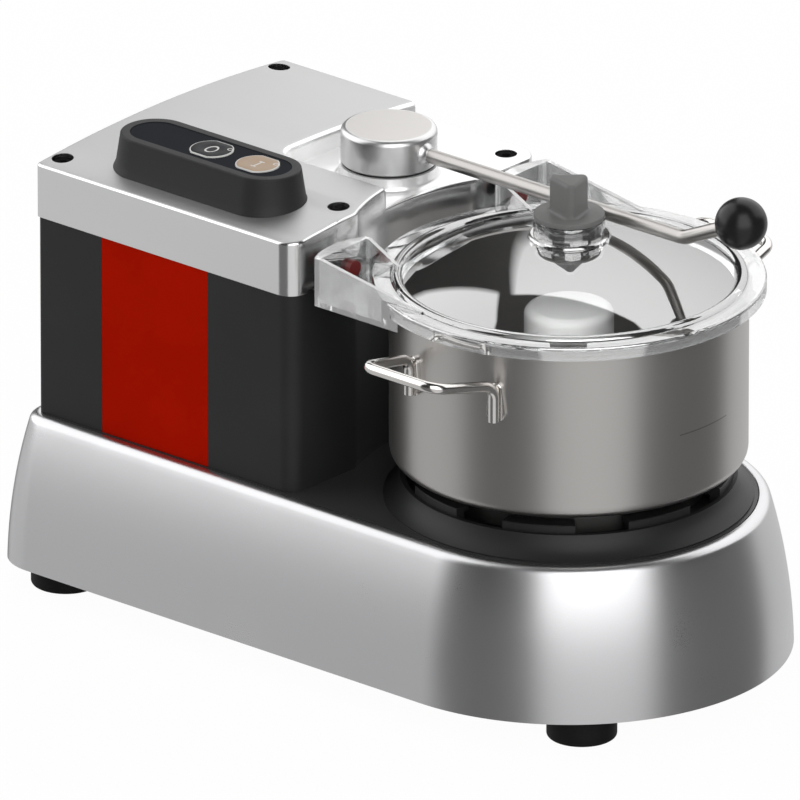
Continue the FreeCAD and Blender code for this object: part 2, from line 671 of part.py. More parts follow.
def base_casting():
    body = new_body("base_casting")
    path = sketch_on(body, "XY_Plane", "casting_path", foot_height)
    draw(path, base_outline(0))
    section = sketch_on(body, "YZ_Plane", "casting_section", bowl_x)
    flare_centre = casting_half - root(flare_radius * flare_radius - flare_drop * flare_drop)
    edge_rise = casting_height - casting_edge + flare_drop
    short = flare_radius - casting_edge
    edge_reach = root(short * short - edge_rise * edge_rise)
    edge_centre = flare_centre + edge_reach
    touch_reach = flare_centre + edge_reach * flare_radius / short
    touch_level = foot_height - flare_drop + edge_rise * flare_radius / short
    lip = casting_half - lip_inset
    under = casting_height - deck_thickness - ledge_thickness
    inner = flare_radius - casting_wall
    under_rise = under + flare_drop
    under_reach = flare_centre + root(inner * inner - under_rise * under_rise)
    foot_reach = flare_centre + root(inner * inner - flare_drop * flare_drop)
    draw(section, [
        (-casting_half, foot_height),
        (-touch_reach, touch_level, flare_radius, -1),
        (-edge_centre, deck_top, casting_edge, -1),
        (-lip, deck_top),
        (-lip, deck_bottom),
        (ledge_width - lip, deck_bottom),
        (ledge_width - lip, deck_bottom - ledge_thickness),
        (-under_reach, foot_height + under),
        (-foot_reach, foot_height, inner, 1)])
    doc.recompute()
    sweep = body.newObject("PartDesign::AdditivePipe", "casting_sweep")
    sweep.Profile = section
    sweep.Spine = (path, ["Edge%d" % (i + 1) for i in range(len(path.Shape.Edges))])
    node("base_casting", body)


def plates():
    deck = new_body("deck_plate")
    pad(deck, "deck_pad", [base_outline(lip_inset + fit_gap), (bowl_x, 0, spindle_neck_radius() + fit_gap),
                           (motor_x, 0, motor_bearing_radius + fit_gap)], deck_bottom, deck_thickness)
    node("deck_plate", deck)
    floor = new_body("bottom_plate")
    holes = [(x, y, foot_screw + fit_gap) for x, y in foot_places()]
    pad(floor, "bottom_pad", [base_outline(casting_wall + fit_gap)] + holes, foot_height, floor_thickness)
    node("bottom_plate", floor)


def foot_places():
    near, far = bowl_x + foot_bowl_reach, left_end + foot_far_inset
    side = casting_half - foot_side_inset
    return [(near, -foot_bowl_reach), (near, foot_bowl_reach), (far, -side), (far, side)]


def feet():
    counterbore = foot_height / 2
    head_bottom = counterbore - foot_screw_set
    plate_top = foot_height + floor_thickness
    nut_top = plate_top + foot_nut_height
    nut = foot_screw * 1.9
    pads, screws = [], []
    for i, (x, y) in enumerate(foot_places()):
        name = "foot_%d" % i
        foot = turned(name, [
            (foot_counterbore, 0), (foot_radius - foot_edge, 0), (foot_radius, foot_edge),
            (foot_radius, foot_height),
            (foot_screw + fit_gap, foot_height), (foot_screw + fit_gap, counterbore),
            (foot_counterbore, counterbore)], x, y)
        pads.append(foot)
        screws.append(turned(name + "_screw", [
            (0, head_bottom), (foot_screw_head, head_bottom), (foot_screw_head, counterbore),
            (foot_screw, counterbore), (foot_screw, plate_top), (nut, plate_top), (nut, nut_top),
            (0, nut_top)], x, y))
    node("rubber_feet", group("rubber_feet_group", pads))
    node("foot_screws", group("foot_screws_group", screws))


# The drive housing, its red panel and the crowned cover.

def housing_outline(inset, far_radius, near_radius):
    """Plan outline of the housing and cover, with the hollow that follows the bowl."""
    half, far = cover_half - inset, bowl_x - cover_far + inset
    near, cove = bowl_x - cover_near - inset, cove_radius + inset
    kink = root(cove * cove - (cover_near + inset) * (cover_near + inset))
    return [(near - near_radius, -half), (near, near_radius - half, near_radius, 1),
            (near, -kink), (near, kink, cove, -1), (near, half - near_radius),
            (near - near_radius, half, near_radius, 1), (far + far_radius, half),
            (far, half - far_radius, far_radius, 1), (far, far_radius - half),
            (far + far_radius, -half, far_radius, 1)]


def motor_housing():
    body = new_body("motor_housing")
    inner = housing_inset + housing_wall
    pad(body, "housing_pad", [
        housing_outline(housing_inset, far_corner, near_corner - housing_inset),
        housing_outline(inner, far_corner / 2, near_corner - inner)], deck_top, housing_height)
    left = bowl_x - panel_left
    front = housing_inset - cover_half
    pocket(body, "panel_recess", [[
        (left, front - 1), (left + panel_width, front - 1), (left + panel_width, front + panel_thickness),
        (left, front + panel_thickness)]], cover_bottom, housing_height)
    node("motor_housing", body)
    panel = block("red_panel_sheet", (left + fit_gap, front, deck_top + fit_gap),
                  (panel_width - fit_gap * 2, panel_thickness - 0.05, housing_height - fit_gap * 2))
    node("red_panel", panel)


def on_step_rim(edge):
    """Whether an edge runs along the top of the wall round the lower level."""
    box, middle = edge.BoundBox, edge.CenterOfMass
    by_wall = abs(middle.x - float(bowl_x - step_far)) < 6 or abs(middle.y + float(step_front)) < 5
    return box.ZMin > float(cover_edge) - 0.01 and by_wall


def on_cover_rim(edge):
    """Whether an edge runs round the top of the cover or round the outside of its lower level."""
    box, middle = edge.BoundBox, edge.CenterOfMass
    outside = abs(middle.y) > float(cover_half) - 14 or middle.x < float(bowl_x - cover_far) + 1
    if box.ZMin > float(cover_edge) - 0.01 and (outside or middle.x > float(bowl_x - cove_radius) - 14):
        return True
    if box.ZMin < float(step_level) - 0.01 or box.ZMax > float(step_level) + 0.01:
        return False
    return middle.x > float(bowl_x - cove_radius) - 1 or middle.y > float(cover_half) - 14


def at_step_level(edge):
    box = edge.BoundBox
    return abs(box.ZMin - float(step_level)) < 0.01 and abs(box.ZMax - float(step_level)) < 0.01


def on_boss_foot(edge):
    """Whether an edge is the foot of the boss under the lever."""
    centre = Vector(float(lever_x), float(lever_side), float(step_level))
    return at_step_level(edge) and (edge.BoundBox.Center - centre).Length < 0.1


def tie_places():
    """Each tie bolt: X, Y and the level that its well starts from."""
    far, near = bowl_x - tie_far, bowl_x - tie_near
    return [(far, -tie_side, cover_edge), (far, tie_side, cover_edge),
            (near, -tie_near_front, cover_edge), (near, tie_side, step_level)]


def top_cover():
    body = new_body("top_cover")
    near, far = bowl_x - cover_near, bowl_x - cover_far
    section = sketch_on(body, "YZ_Plane", "cover_section", far)
    draw(section, [(-cover_half, cover_bottom), (cover_half, cover_bottom), (cover_half, cover_edge),
                   (-cover_half, cover_edge, crown_radius, 1)])
    crowned = body.newObject("PartDesign::Pad", "cover_crown")
    crowned.Profile = section
    bind(crowned, "Length", cover_far - cover_near)
    margin = 10
    trim = [(far - margin, -cover_half - margin), (near + margin, -cover_half - margin),
            (near + margin, cover_half + margin), (far - margin, cover_half + margin)]
    pocket(body, "cover_trim", [trim, housing_outline(0, far_corner, near_corner)],
           crown_top + 1, cover_side + 20)
    step_x = bowl_x - step_far
    pocket(body, "cover_step", [[
        (step_x, step_corner - step_front), (step_x + step_corner, -step_front, step_corner, 1),
        (near + margin, -step_front), (near + margin, cover_half + margin), (step_x, cover_half + margin)]],
        crown_top + 1, crown_top + 1 - step_level)
    rounded(body, "step_rim", step_round, on_step_rim)
    rounded(body, "cover_edges", cover_bevel, on_cover_rim)
    pad(body, "lever_boss", [(lever_x, lever_side, boss_radius)], step_level, boss_height)
    rounded(body, "boss_foot", boss_foot, on_boss_foot)
    roof = step_level - cover_wall
    pocket(body, "cover_hollow", [housing_outline(cover_wall, far_corner / 2, near_corner - cover_wall)],
           roof, roof - cover_bottom)
    high = cover_edge - cover_wall
    pocket(body, "cover_upper_hollow", [[
        (far + cover_wall + 2, cover_wall + 2 - cover_half), (near - near_corner, cover_wall + 2 - cover_half),
        (near - near_corner, -step_front - cover_wall), (step_x - cover_wall, -step_front - cover_wall),
        (step_x - cover_wall, cover_half - cover_wall - 2), (far + cover_wall + 2, cover_half - cover_wall - 2)]],
        high, high - roof)
    for i, (x, y, level) in enumerate(tie_places()):
        pad(body, "tie_boss_%d" % i, [(x, y, tie_boss_far if i < 2 else tie_boss)], cover_bottom + cover_side / 3,
            level - cover_bottom - cover_side / 3 - cover_wall / 2)
    for i, (x, y, level) in enumerate(tie_places()):
        pocket(body, "tie_well_%d" % i, [(x, y, tie_hole)], level + 10, tie_depth + 10)
        pocket(body, "tie_through_%d" % i, [(x, y, tie_bolt + fit_gap)], level, cover_side)
    pocket(body, "lever_bore", [(lever_x, lever_side, pivot_radius + bush_wall)],
           step_level + boss_height, boss_height + cover_wall)
    node("top_cover", body)


def tie_bolts():
    head = tie_hole - fit_gap
    bolts = []
    for i, (x, y, level) in enumerate(tie_places()):
        seat = level - tie_depth
        top = seat + tie_head_height
        bolt = turned("tie_bolt_%d" % i, [
            (0, deck_top), (tie_bolt, deck_top), (tie_bolt, seat), (head, seat), (head, top - tie_head_edge),
            (head - tie_head_edge, top), (tie_bolt, top), (tie_bolt, top - tie_bolt), (0, top - tie_bolt)], x, y)
        bolts.append(bolt)
    node("tie_bolts", group("tie_bolts_group", bolts))


def spindle_neck_radius():
    return seal_radius + spindle_wall


# The control pod, cut to sit on the crowned cover.

def control_pod():
    body = new_body("control_pod")
    left, right = bowl_x - pod_left, bowl_x - pod_right
    skirt_top = cover_edge + pod_skirt
    pad(body, "pod_skirt_pad", [stadium(left, right, pod_y, pod_foot)], cover_edge, pod_skirt,
        taper=-slope(pod_foot - pod_waist, pod_skirt))
    pad(body, "pod_tower", [stadium(left, right, pod_y, pod_waist)], skirt_top, pod_height - pod_skirt,
        taper=-slope(pod_waist - pod_crown, pod_height - pod_skirt))
    ceiling = pod_top - pod_wall * 1.5
    pocket(body, "pod_hollow", [stadium(left, right, pod_y, pod_crown - pod_wall)], ceiling,
           ceiling - cover_edge)
    rounded(body, "pod_top_edge", pod_edge, lambda edge: edge.BoundBox.ZMin > float(pod_top) - 0.01)
    pocket(body, "pod_glass_seat", [stadium(left, right, pod_y, glass_radius + fit_gap)], pod_top,
           pod_top - glass_top + glass_thickness)
    pocket(body, "pod_opening", [stadium(left, right, pod_y, glass_radius - 1.5)], pod_top, pod_wall * 2)
    crown = rod("pod_crown_tool", crown_radius + 0.05, casting_length, left_end, 0,
                crown_top - crown_radius, RIGHT)
    node("control_pod", less("control_pod_cut", body, [crown]))


def button_outline(x, gap):
    """A round button with two flats."""
    radius, flat = button_radius + gap, button_flat + gap
    half = root(radius * radius - flat * flat)
    return [(x - half, pod_y - flat, radius, 1), (x + half, pod_y - flat),
            (x + half, pod_y + flat, radius, 1), (x - half, pod_y + flat)]


def pod_controls():
    start_x = bowl_x - start_reach
    stop_x = start_x - button_pitch
    left, right = bowl_x - pod_left, bowl_x - pod_right
    glass = new_body("pod_glass")
    pad(glass, "glass_pad", [stadium(left, right, pod_y, glass_radius)], glass_top - glass_thickness,
        glass_thickness)
    pocket(glass, "glass_holes", [button_outline(stop_x, move_gap), button_outline(start_x, move_gap)],
           glass_top, glass_thickness)
    node("pod_glass", glass)
    button_bottom = glass_top + button_proud - button_height
    for name, x in (("stop_button", stop_x), ("start_button", start_x)):
        body = new_body(name)
        pad(body, name + "_pad", [button_outline(x, 0)], button_bottom, button_height)
        rounded(body, name + "_edge", button_proud / 2, lambda edge: edge.BoundBox.ZMin > float(glass_top))
        node(name, body)
    switch_top = button_bottom - button_travel - move_gap
    board_top = switch_top - switch_height
    board = new_body("control_board")
    pad(board, "board_pad", [stadium(left, right, pod_y, pod_crown - pod_wall - 1)],
        board_top - board_thickness, board_thickness)
    ceiling = pod_top - pod_wall * 1.5
    board_half = pod_crown - pod_wall - 5
    posts = [(x, y, post_radius) for x in (left, right) for y in (pod_y - board_half, pod_y + board_half)]
    pad(board, "board_posts", posts, board_top, ceiling - board_top)
    node("control_board", board)
    switches = [rod("switch_%d" % i, switch_radius, switch_top - board_top, x, pod_y, board_top)
                for i, x in enumerate((stop_x, start_x))]
    node("button_switches", group("button_switches_group", switches))


# The bowl seat with its bayonet lugs, and the bowl.

def repeat(body, name, feature, count):
    """Repeat a feature round the body's upright axis."""
    upright = next(item for item in body.Origin.OriginFeatures if item.Role == "Z_Axis")
    pattern = body.newObject("PartDesign::PolarPattern", name)
    pattern.Originals = [feature]
    pattern.Axis = (upright, [""])
    pattern.Angle = 360
    pattern.Occurrences = count
    body.Tip = pattern
    return pattern


def bowl_seat():
    body = new_body("bowl_seat")
    inner = seat_crest - seat_rim
    turn(body, "seat_turn", [
        (seat_hole, deck_top), (seat_radius, deck_top), (seat_radius, deck_top + 1),
        (seat_crest, deck_top + seat_height, seat_cove, -1), (inner, deck_top + seat_height),
        (inner, seat_level), (seat_hole, seat_level)])
    web = pad(body, "lug_web_pad", [sector(lug_web, inner + 1, lug_first, lug_angle)],
              deck_top + seat_floor, lug_top - seat_floor)
    repeat(body, "lug_webs", web, lug_count)
    plate = pad(body, "lug_plate_pad", [sector(lug_in, lug_web + 1, lug_first, lug_angle)],
                deck_top + lug_top - lug_plate, lug_plate)
    repeat(body, "lug_plates", plate, lug_count)
    node("bowl_seat", put(body, bowl_x))


def bowl():
    inner = bowl_radius - bowl_wall
    floor = bowl_bottom + bowl_wall
    flat = bowl_radius - bowl_edge
    rim_out = bowl_radius + rim_width / 2
    shell = turned("bowl_shell", [
        (tube_radius, bowl_bottom), (flat, bowl_bottom), (bowl_radius, bowl_bottom + bowl_edge, bowl_edge, 1),
        (bowl_radius, bowl_top - rim_width), (rim_out, bowl_top - rim_width), (rim_out, bowl_top),
        (inner, bowl_top), (inner, bowl_bottom + bowl_edge), (flat, floor, bowl_edge - bowl_wall, -1),
        (tube_radius, floor)], bowl_x)
    node("bowl_shell", shell)
    tube = turned("bowl_tube", ring(tube_radius - tube_wall, tube_radius, bowl_bottom,
                                    bowl_bottom + tube_height), bowl_x)
    node("bowl_tube", tube)
    base = new_body("bowl_base_ring")
    foot = seat_level + move_gap
    turn(base, "collar_turn", ring(collar_radius - collar_wall, collar_radius, foot, bowl_bottom))
    tab = pad(base, "bayonet_tab", [sector(collar_radius - 1, tab_reach, lug_first, tab_angle)],
              foot + 1.7, tab_height)
    repeat(base, "bayonet_tabs", tab, lug_count)
    node("bowl_base_ring", put(base, bowl_x))


def bent_path(name, corners, radius):
    """A wire through the corners with every inner corner rounded."""
    points = [Vector(*[float(item) for item in corner]) for corner in corners]
    edges, last = [], points[0]
    for before, corner, after in zip(points, points[1:], points[2:]):
        arrive = (corner - before).normalize()
        leave = (after - corner).normalize()
        half = arrive.getAngle(leave) / 2
        back = float(radius) * math.tan(half)
        first, second = corner - arrive * back, corner + leave * back
        inward = (leave - arrive).normalize()
        middle = corner + inward * (float(radius) / math.cos(half) - float(radius))
        edges.append(Part.makeLine(last, first))
        edges.append(Part.Arc(first, middle, second).toShape())
        last = second
    edges.append(Part.makeLine(last, points[-1]))
    path = doc.addObject("Part::Feature", name)
    path.Shape = Part.Wire(edges)
    return path, len(edges)


def bowl_handle(name, side):
    """A wire handle with its two weld tabs; side is -1 for the front, 1 for the back."""
    seat = bowl_radius + tab_thickness + handle_wire
    wall_y = root(seat * seat - handle_half * handle_half) * side
    top = bowl_top - handle_drop
    path, count = bent_path(name + "_path", [
        (bowl_x + handle_half, wall_y, top - handle_tail), (bowl_x + handle_half, wall_y, top),
        (bowl_x + handle_bar_half, handle_reach * side, top + handle_rise),
        (bowl_x - handle_bar_half, handle_reach * side, top + handle_rise),
        (bowl_x - handle_half, wall_y, top), (bowl_x - handle_half, wall_y, top - handle_tail)], handle_bend)
    profile = doc.addObject("Part::Circle", name + "_profile")
    bind(profile, "Radius", handle_wire)
    put(profile, bowl_x + handle_half, wall_y, top - handle_tail)
    wire = doc.addObject("Part::Sweep", name + "_wire")
    wire.Sections = [profile]
    wire.Spine = (path, ["Edge%d" % (i + 1) for i in range(count)])
    wire.Solid = True
    wire.Frenet = False
    tabs = new_body(name + "_tabs")
    angle = slope(wall_y, handle_half)
    width = tab_width / bowl_radius * (180 / math.pi)
    tab_bottom = top - handle_tail - tab_overhang
    inner, outer = bowl_radius + weld_gap, bowl_radius + tab_thickness + handle_wire / 3
    pad(tabs, name + "_tab", [sector(inner, outer, angle, width),
                              sector(inner, outer, as_size(180) - angle, width)], tab_bottom, tab_tall)
    put(tabs, bowl_x)
    shape = new_body(name + "_tab_shape")
    outlines = []
    for place in (handle_half, -handle_half):
        half, low, high = tab_width / 2, tab_bottom + tab_width / 2, tab_bottom + tab_tall - tab_width / 3
        outlines.append([(place + half, low, half, 1), (place + tab_width / 3, high),
                         (place - tab_width / 3, high, tab_width / 3, 1), (place - half, low)])
    pad(shape, name + "_tab_shape_pad", outlines, 0, (handle_reach + bowl_radius) * as_size(-side), "XZ_Plane")
    put(shape, bowl_x)
    node(name, fused(name + "_fuse", [wire, shared(name + "_tab_cut", tabs, shape)]))


# The clear lid with its two ears, its seal, and the plug in its feed collar.

def polygon(sides, radius, first, x=0, y=0):
    """The corners of a regular polygon as an outline."""
    corners = []
    for i in range(sides):
        turn_to = first + 360 * i / sides
        radians = math.radians(turn_to)
        across = Size(math.cos(radians), "cos(%.9g * 1deg)" % turn_to)
        along = Size(math.sin(radians), "sin(%.9g * 1deg)" % turn_to)
        corners.append((x + radius * across, y + radius * along))
    return corners


def ear_outline(side, inset, bulge):
    """Plan outline of a lid ear round the bowl's axis: side is -1 for the front."""
    out, near = (ear_out - inset) * side, (ear_in + inset) * side
    far, end = inset - ear_far, -ear_end
    if not bulge:
        return [(far, out), (end, out), (end, near), (far, near)]
    half = (ear_out - ear_in) / 2
    radius = (half * half + ear_pad * ear_pad) / (ear_pad * 2)
    return [(far, out, radius, -side), (end, out), (end, near), (far, near)]


def ear_well(side):
    """The deep part of an ear, outside the lid's lip."""
    out, near = (ear_out - ear_wall) * side, (ear_in + ear_wall) * side
    far = ear_wall - ear_far
    cut_out = -root(lid_radius * lid_radius - (ear_out - ear_wall) * (ear_out - ear_wall))
    cut_near = -root(lid_radius * lid_radius - (ear_in + ear_wall) * (ear_in + ear_wall))
    return [(far, out), (cut_out, out), (cut_near, near, lid_radius, side), (far, near)]


def lid_shell():
    body = new_body("lid_shell")
    top, bottom = ring_top + ear_top, ring_top - ear_bottom
    pad(body, "ear_pad_solid", [ear_outline(-1, 0, True), ear_outline(1, 0, True)], bottom, top - bottom)
    foot = ear_wall + 2 - ear_far
    shoulder = ring_top + 1
    for name, reach, width in (("ear_side_slope", -ear_end, ear_out * 2 + 4),
                               ("ear_inner_slope", -bead_in * 0.8, ear_out + ear_in)):
        sketch = sketch_on(body, "XZ_Plane", name + "_outline")
        draw(sketch, [(foot, top), (reach, shoulder), (0, shoulder), (0, top + 10), (foot, top + 10)])
        slant = body.newObject("PartDesign::Pocket", name)
        slant.Profile = sketch
        slant.Midplane = True
        bind(slant, "Length", width)
    pocket(body, "ear_top_hollow", [ear_outline(-1, ear_wall, False), ear_outline(1, ear_wall, False)],
           top, top - ring_top + 1)
    pocket(body, "ear_well_hollow", [ear_well(-1), ear_well(1)], top, top - bottom - ear_wall)
    pocket(body, "lid_window", [(0, 0, bead_in + 1)], top, top - bottom)
    pocket(body, "bowl_clearance", [(0, 0, lid_radius - lid_wall)], ring_bottom, ring_bottom - bottom)
    lip_in = lid_radius - lid_wall
    lip_bottom = ring_top - lip_height
    inner_dome = dome_radius - lid_wall
    rise = ring_bottom - dome_level
    inner_foot = root(inner_dome * inner_dome - rise * rise)
    outer_hole = dome_level + root(dome_radius * dome_radius - collar_bore * collar_bore)
    inner_hole = dome_level + root(inner_dome * inner_dome - collar_bore * collar_bore)
    bead_half = (bead_out - bead_in) / 2
    bead_round = (bead_half * bead_half + bead_height * bead_height) / (bead_height * 2)
    turn(body, "lid_turn", [
        (lip_in, lip_bottom), (lid_radius, lip_bottom), (lid_radius, ring_top - lip_chamfer),
        (lid_radius - lip_chamfer, ring_top, lip_chamfer, 1), (bead_out, ring_top),
        (bead_in, ring_top, bead_round, 1), (collar_bore, outer_hole, dome_radius, 1),
        (collar_bore, inner_hole), (inner_foot, ring_bottom, inner_dome, -1),
        (inner_foot, ring_bottom - rib_drop), (rib_radius, ring_bottom - rib_drop), (rib_radius, ring_bottom),
        (lip_in, ring_bottom)])
    pad(body, "lip_ribs", [sector(lid_radius - lid_wall / 2, lid_radius + lip_rib, place, lip_rib_angle)
                           for place in (lip_rib_left, lip_rib_right)], lip_bottom, lip_height - lip_chamfer)
    ring_foot = collar_ring_reach + collar_ring
    turn(body, "collar_ring_turn", [
        (collar_bore + 1, dome_top - 3), (ring_foot, dome_top - 3), (ring_foot, dome_top - 1.4),
        (collar_ring_reach, dome_top + collar_ring - 1.4, collar_ring, 1), (collar_bore + 1, dome_top + 1)])
    collar_bottom = dome_top - collar_below
    pad(body, "collar_pad", [polygon(12, collar_corner, 15)], collar_bottom, collar_top - collar_bottom)
    pocket(body, "collar_bore_cut", [(0, 0, collar_bore)], collar_top, collar_top - collar_bottom)
    node("lid_shell", put(body, bowl_x))
    seal_in = rib_radius + fit_gap
    seal = turned("lid_seal", ring(seal_in, seal_in + seal_width, ring_bottom - seal_height, ring_bottom),
                  bowl_x)
    node("lid_seal", seal)
    middle = (ear_out + ear_in) / 2 - magnet_shift
    level = ring_top - 1
    magnet_x = bowl_x - ear_far + ear_wall
    magnets = [rod("magnet_%d" % i, magnet_radius, magnet_height, magnet_x, middle * side, level, RIGHT)
               for i, side in enumerate((-1, 1))]
    node("lid_magnets", group("lid_magnets_group", magnets))
    wall_x = bowl_x - cover_near - cover_wall
    reeds = [block("reed_%d" % i, (wall_x - reed_depth, middle * side - reed_width / 2, level - reed_height / 2),
                   (reed_depth, reed_width, reed_height)) for i, side in enumerate((-1, 1))]
    node("reed_switches", group("reed_switches_group", reeds))


def rounded_triangle(reach, corner, first):
    """An equilateral triangle with round corners."""
    outline = []
    for i in range(3):
        middle = first + 120 * i
        ends = []
        for side in (-60, 60):
            a, b = math.radians(middle), math.radians(middle + side)
            across = reach * Size(math.cos(a), "cos(%d * 1deg)" % middle)
            along = reach * Size(math.sin(a), "sin(%d * 1deg)" % middle)
            across = across + corner * Size(math.cos(b), "cos(%d * 1deg)" % (middle + side))
            along = along + corner * Size(math.sin(b), "sin(%d * 1deg)" % (middle + side))
            ends.append((across, along))
        outline += [ends[0], ends[1] + (corner, 1)]
    return outline


def feed_plug():
    body = new_body("feed_plug")
    fit = collar_bore - move_gap
    tip = flange_bottom - plug_depth
    foot = flange_bottom - plug_stem_depth
    flange_top = flange_bottom + plug_flange_height
    top = flange_top + knob_height
    turn(body, "plug_turn", [
        (0, foot), (plug_stem - knob_edge, foot), (plug_stem, foot + knob_edge),
        (plug_stem, flange_bottom - plug_flange_height), (fit, flange_bottom - plug_flange_height),
        (fit, flange_bottom), (plug_flange, flange_bottom), (plug_flange, flange_top), (0, flange_top)])
    pad(body, "plug_tip", [rounded_triangle(knob_reach, knob_corner, -45)], tip, foot + 1 - tip)
    pad(body, "plug_knob", [rounded_triangle(knob_reach, knob_corner, -45)], flange_top, knob_height)
    rounded(body, "plug_knob_edge", knob_edge, lambda edge: edge.BoundBox.ZMin > float(top) - 0.01)
    node("feed_plug", put(body, bowl_x))


# The lever that locks the lid.

def lever():
    top = hub_bottom + hub_height
    socket = hub_bottom + pivot_socket
    hub = turned("lever_hub_turn", [
        (pivot_radius, hub_bottom), (hub_radius, hub_bottom), (hub_radius, top - hub_edge),
        (hub_radius - hub_edge, top, hub_edge, 1), (0, top), (0, socket), (pivot_radius, socket)],
        lever_x, lever_side)
    flare = doc.addObject("Part::Cone", "rod_flare")
    bind(flare, "Radius1", rod_radius * 1.5)
    bind(flare, "Radius2", rod_radius * 1.05)
    bind(flare, "Height", rod_radius * 1.6)
    flare.Placement = Placement(Vector(), RIGHT)
    put(flare, lever_x + hub_radius - rod_radius * 0.7, lever_side, rod_level)
    bore = rod("rod_bore", rod_radius, hub_radius * 2, lever_x + rod_root, lever_side, rod_level, RIGHT)
    node("lever_hub", less("lever_hub_cut", fused("lever_hub_fuse", [hub, flare]), [bore]))

    run = root(ball_run * ball_run + ball_rise * ball_rise)
    across, along = ball_run / run, ball_rise / run
    back = rod_bend_radius * along / (across + 1)
    bend_x = bowl_x + rod_bend_reach
    body = new_body("lever_rod")
    path = sketch_on(body, "XZ_Plane", "rod_path", -lever_side)
    draw(path, [(lever_x + rod_root, rod_level), (bend_x - back, rod_level),
                (bend_x + back * across, rod_level + back * along, rod_bend_radius, 1),
                (bend_x + ball_run, rod_level + ball_rise)], closed=False)
    section = sketch_on(body, "YZ_Plane", "rod_section", lever_x + rod_root)
    circle(section, lever_side, rod_level, rod_radius)
    doc.recompute()
    sweep = body.newObject("PartDesign::AdditivePipe", "rod_sweep")
    sweep.Profile = section
    sweep.Spine = (path, ["Edge1", "Edge2", "Edge3"])
    node("lever_rod", body)

    flat = ball_radius - root(ball_radius * ball_radius - rod_radius * rod_radius * 1.7)
    neck = root(rod_radius * rod_radius * 1.7)
    ball = turned("lever_ball", [
        (0, 0), (rod_radius, 0), (rod_radius, flat - ball_radius), (neck, flat - ball_radius),
        (ball_radius, 0, ball_radius, 1), (0, ball_radius, ball_radius, 1)])
    ball.Placement = Placement(Vector(), Rotation(Vector(0, 1, 0), 90 - float(slope(ball_rise, ball_run))))
    node("lever_ball", put(ball, bend_x + ball_run, lever_side, rod_level + ball_rise))

    spindle_bottom = hub_bottom - pivot_length
    node("lever_spindle", rod("lever_spindle_bar", pivot_radius, pivot_length + pivot_socket,
                              lever_x, lever_side, spindle_bottom))
    bush = turned("lever_bush", ring(pivot_radius + run_gap, pivot_radius + bush_wall,
                                     step_level - cover_wall, step_level + boss_height), lever_x, lever_side)
    node("lever_bush", bush)
    washer = turned("hub_washer", ring(pivot_radius + fit_gap, hub_radius - 1, step_level + boss_height,
                                       step_level + boss_height + washer_thickness), lever_x, lever_side)
    node("hub_washer", washer)
    cam = new_body("switch_cam")
    pad(cam, "cam_pad", [(0, 0, cam_radius), (0, 0, pivot_radius)], spindle_bottom, cam_height)
    pocket(cam, "cam_notch", [[(cam_radius * 0.7, -5), (cam_radius + 1, -5), (cam_radius + 1, 5),
                               (cam_radius * 0.7, 5)]], spindle_bottom + cam_height, cam_height)
    node("switch_cam", put(cam, lever_x, lever_side))
    roof = step_level - cover_wall
    node("lock_switch", block("lock_switch_case", (lever_x - lock_switch_width / 2, lever_side + cam_radius + 1,
                                                   spindle_bottom - 2),
                              (lock_switch_width, lock_switch_depth, roof - spindle_bottom + 2)))


# Motor, belt and spindle.

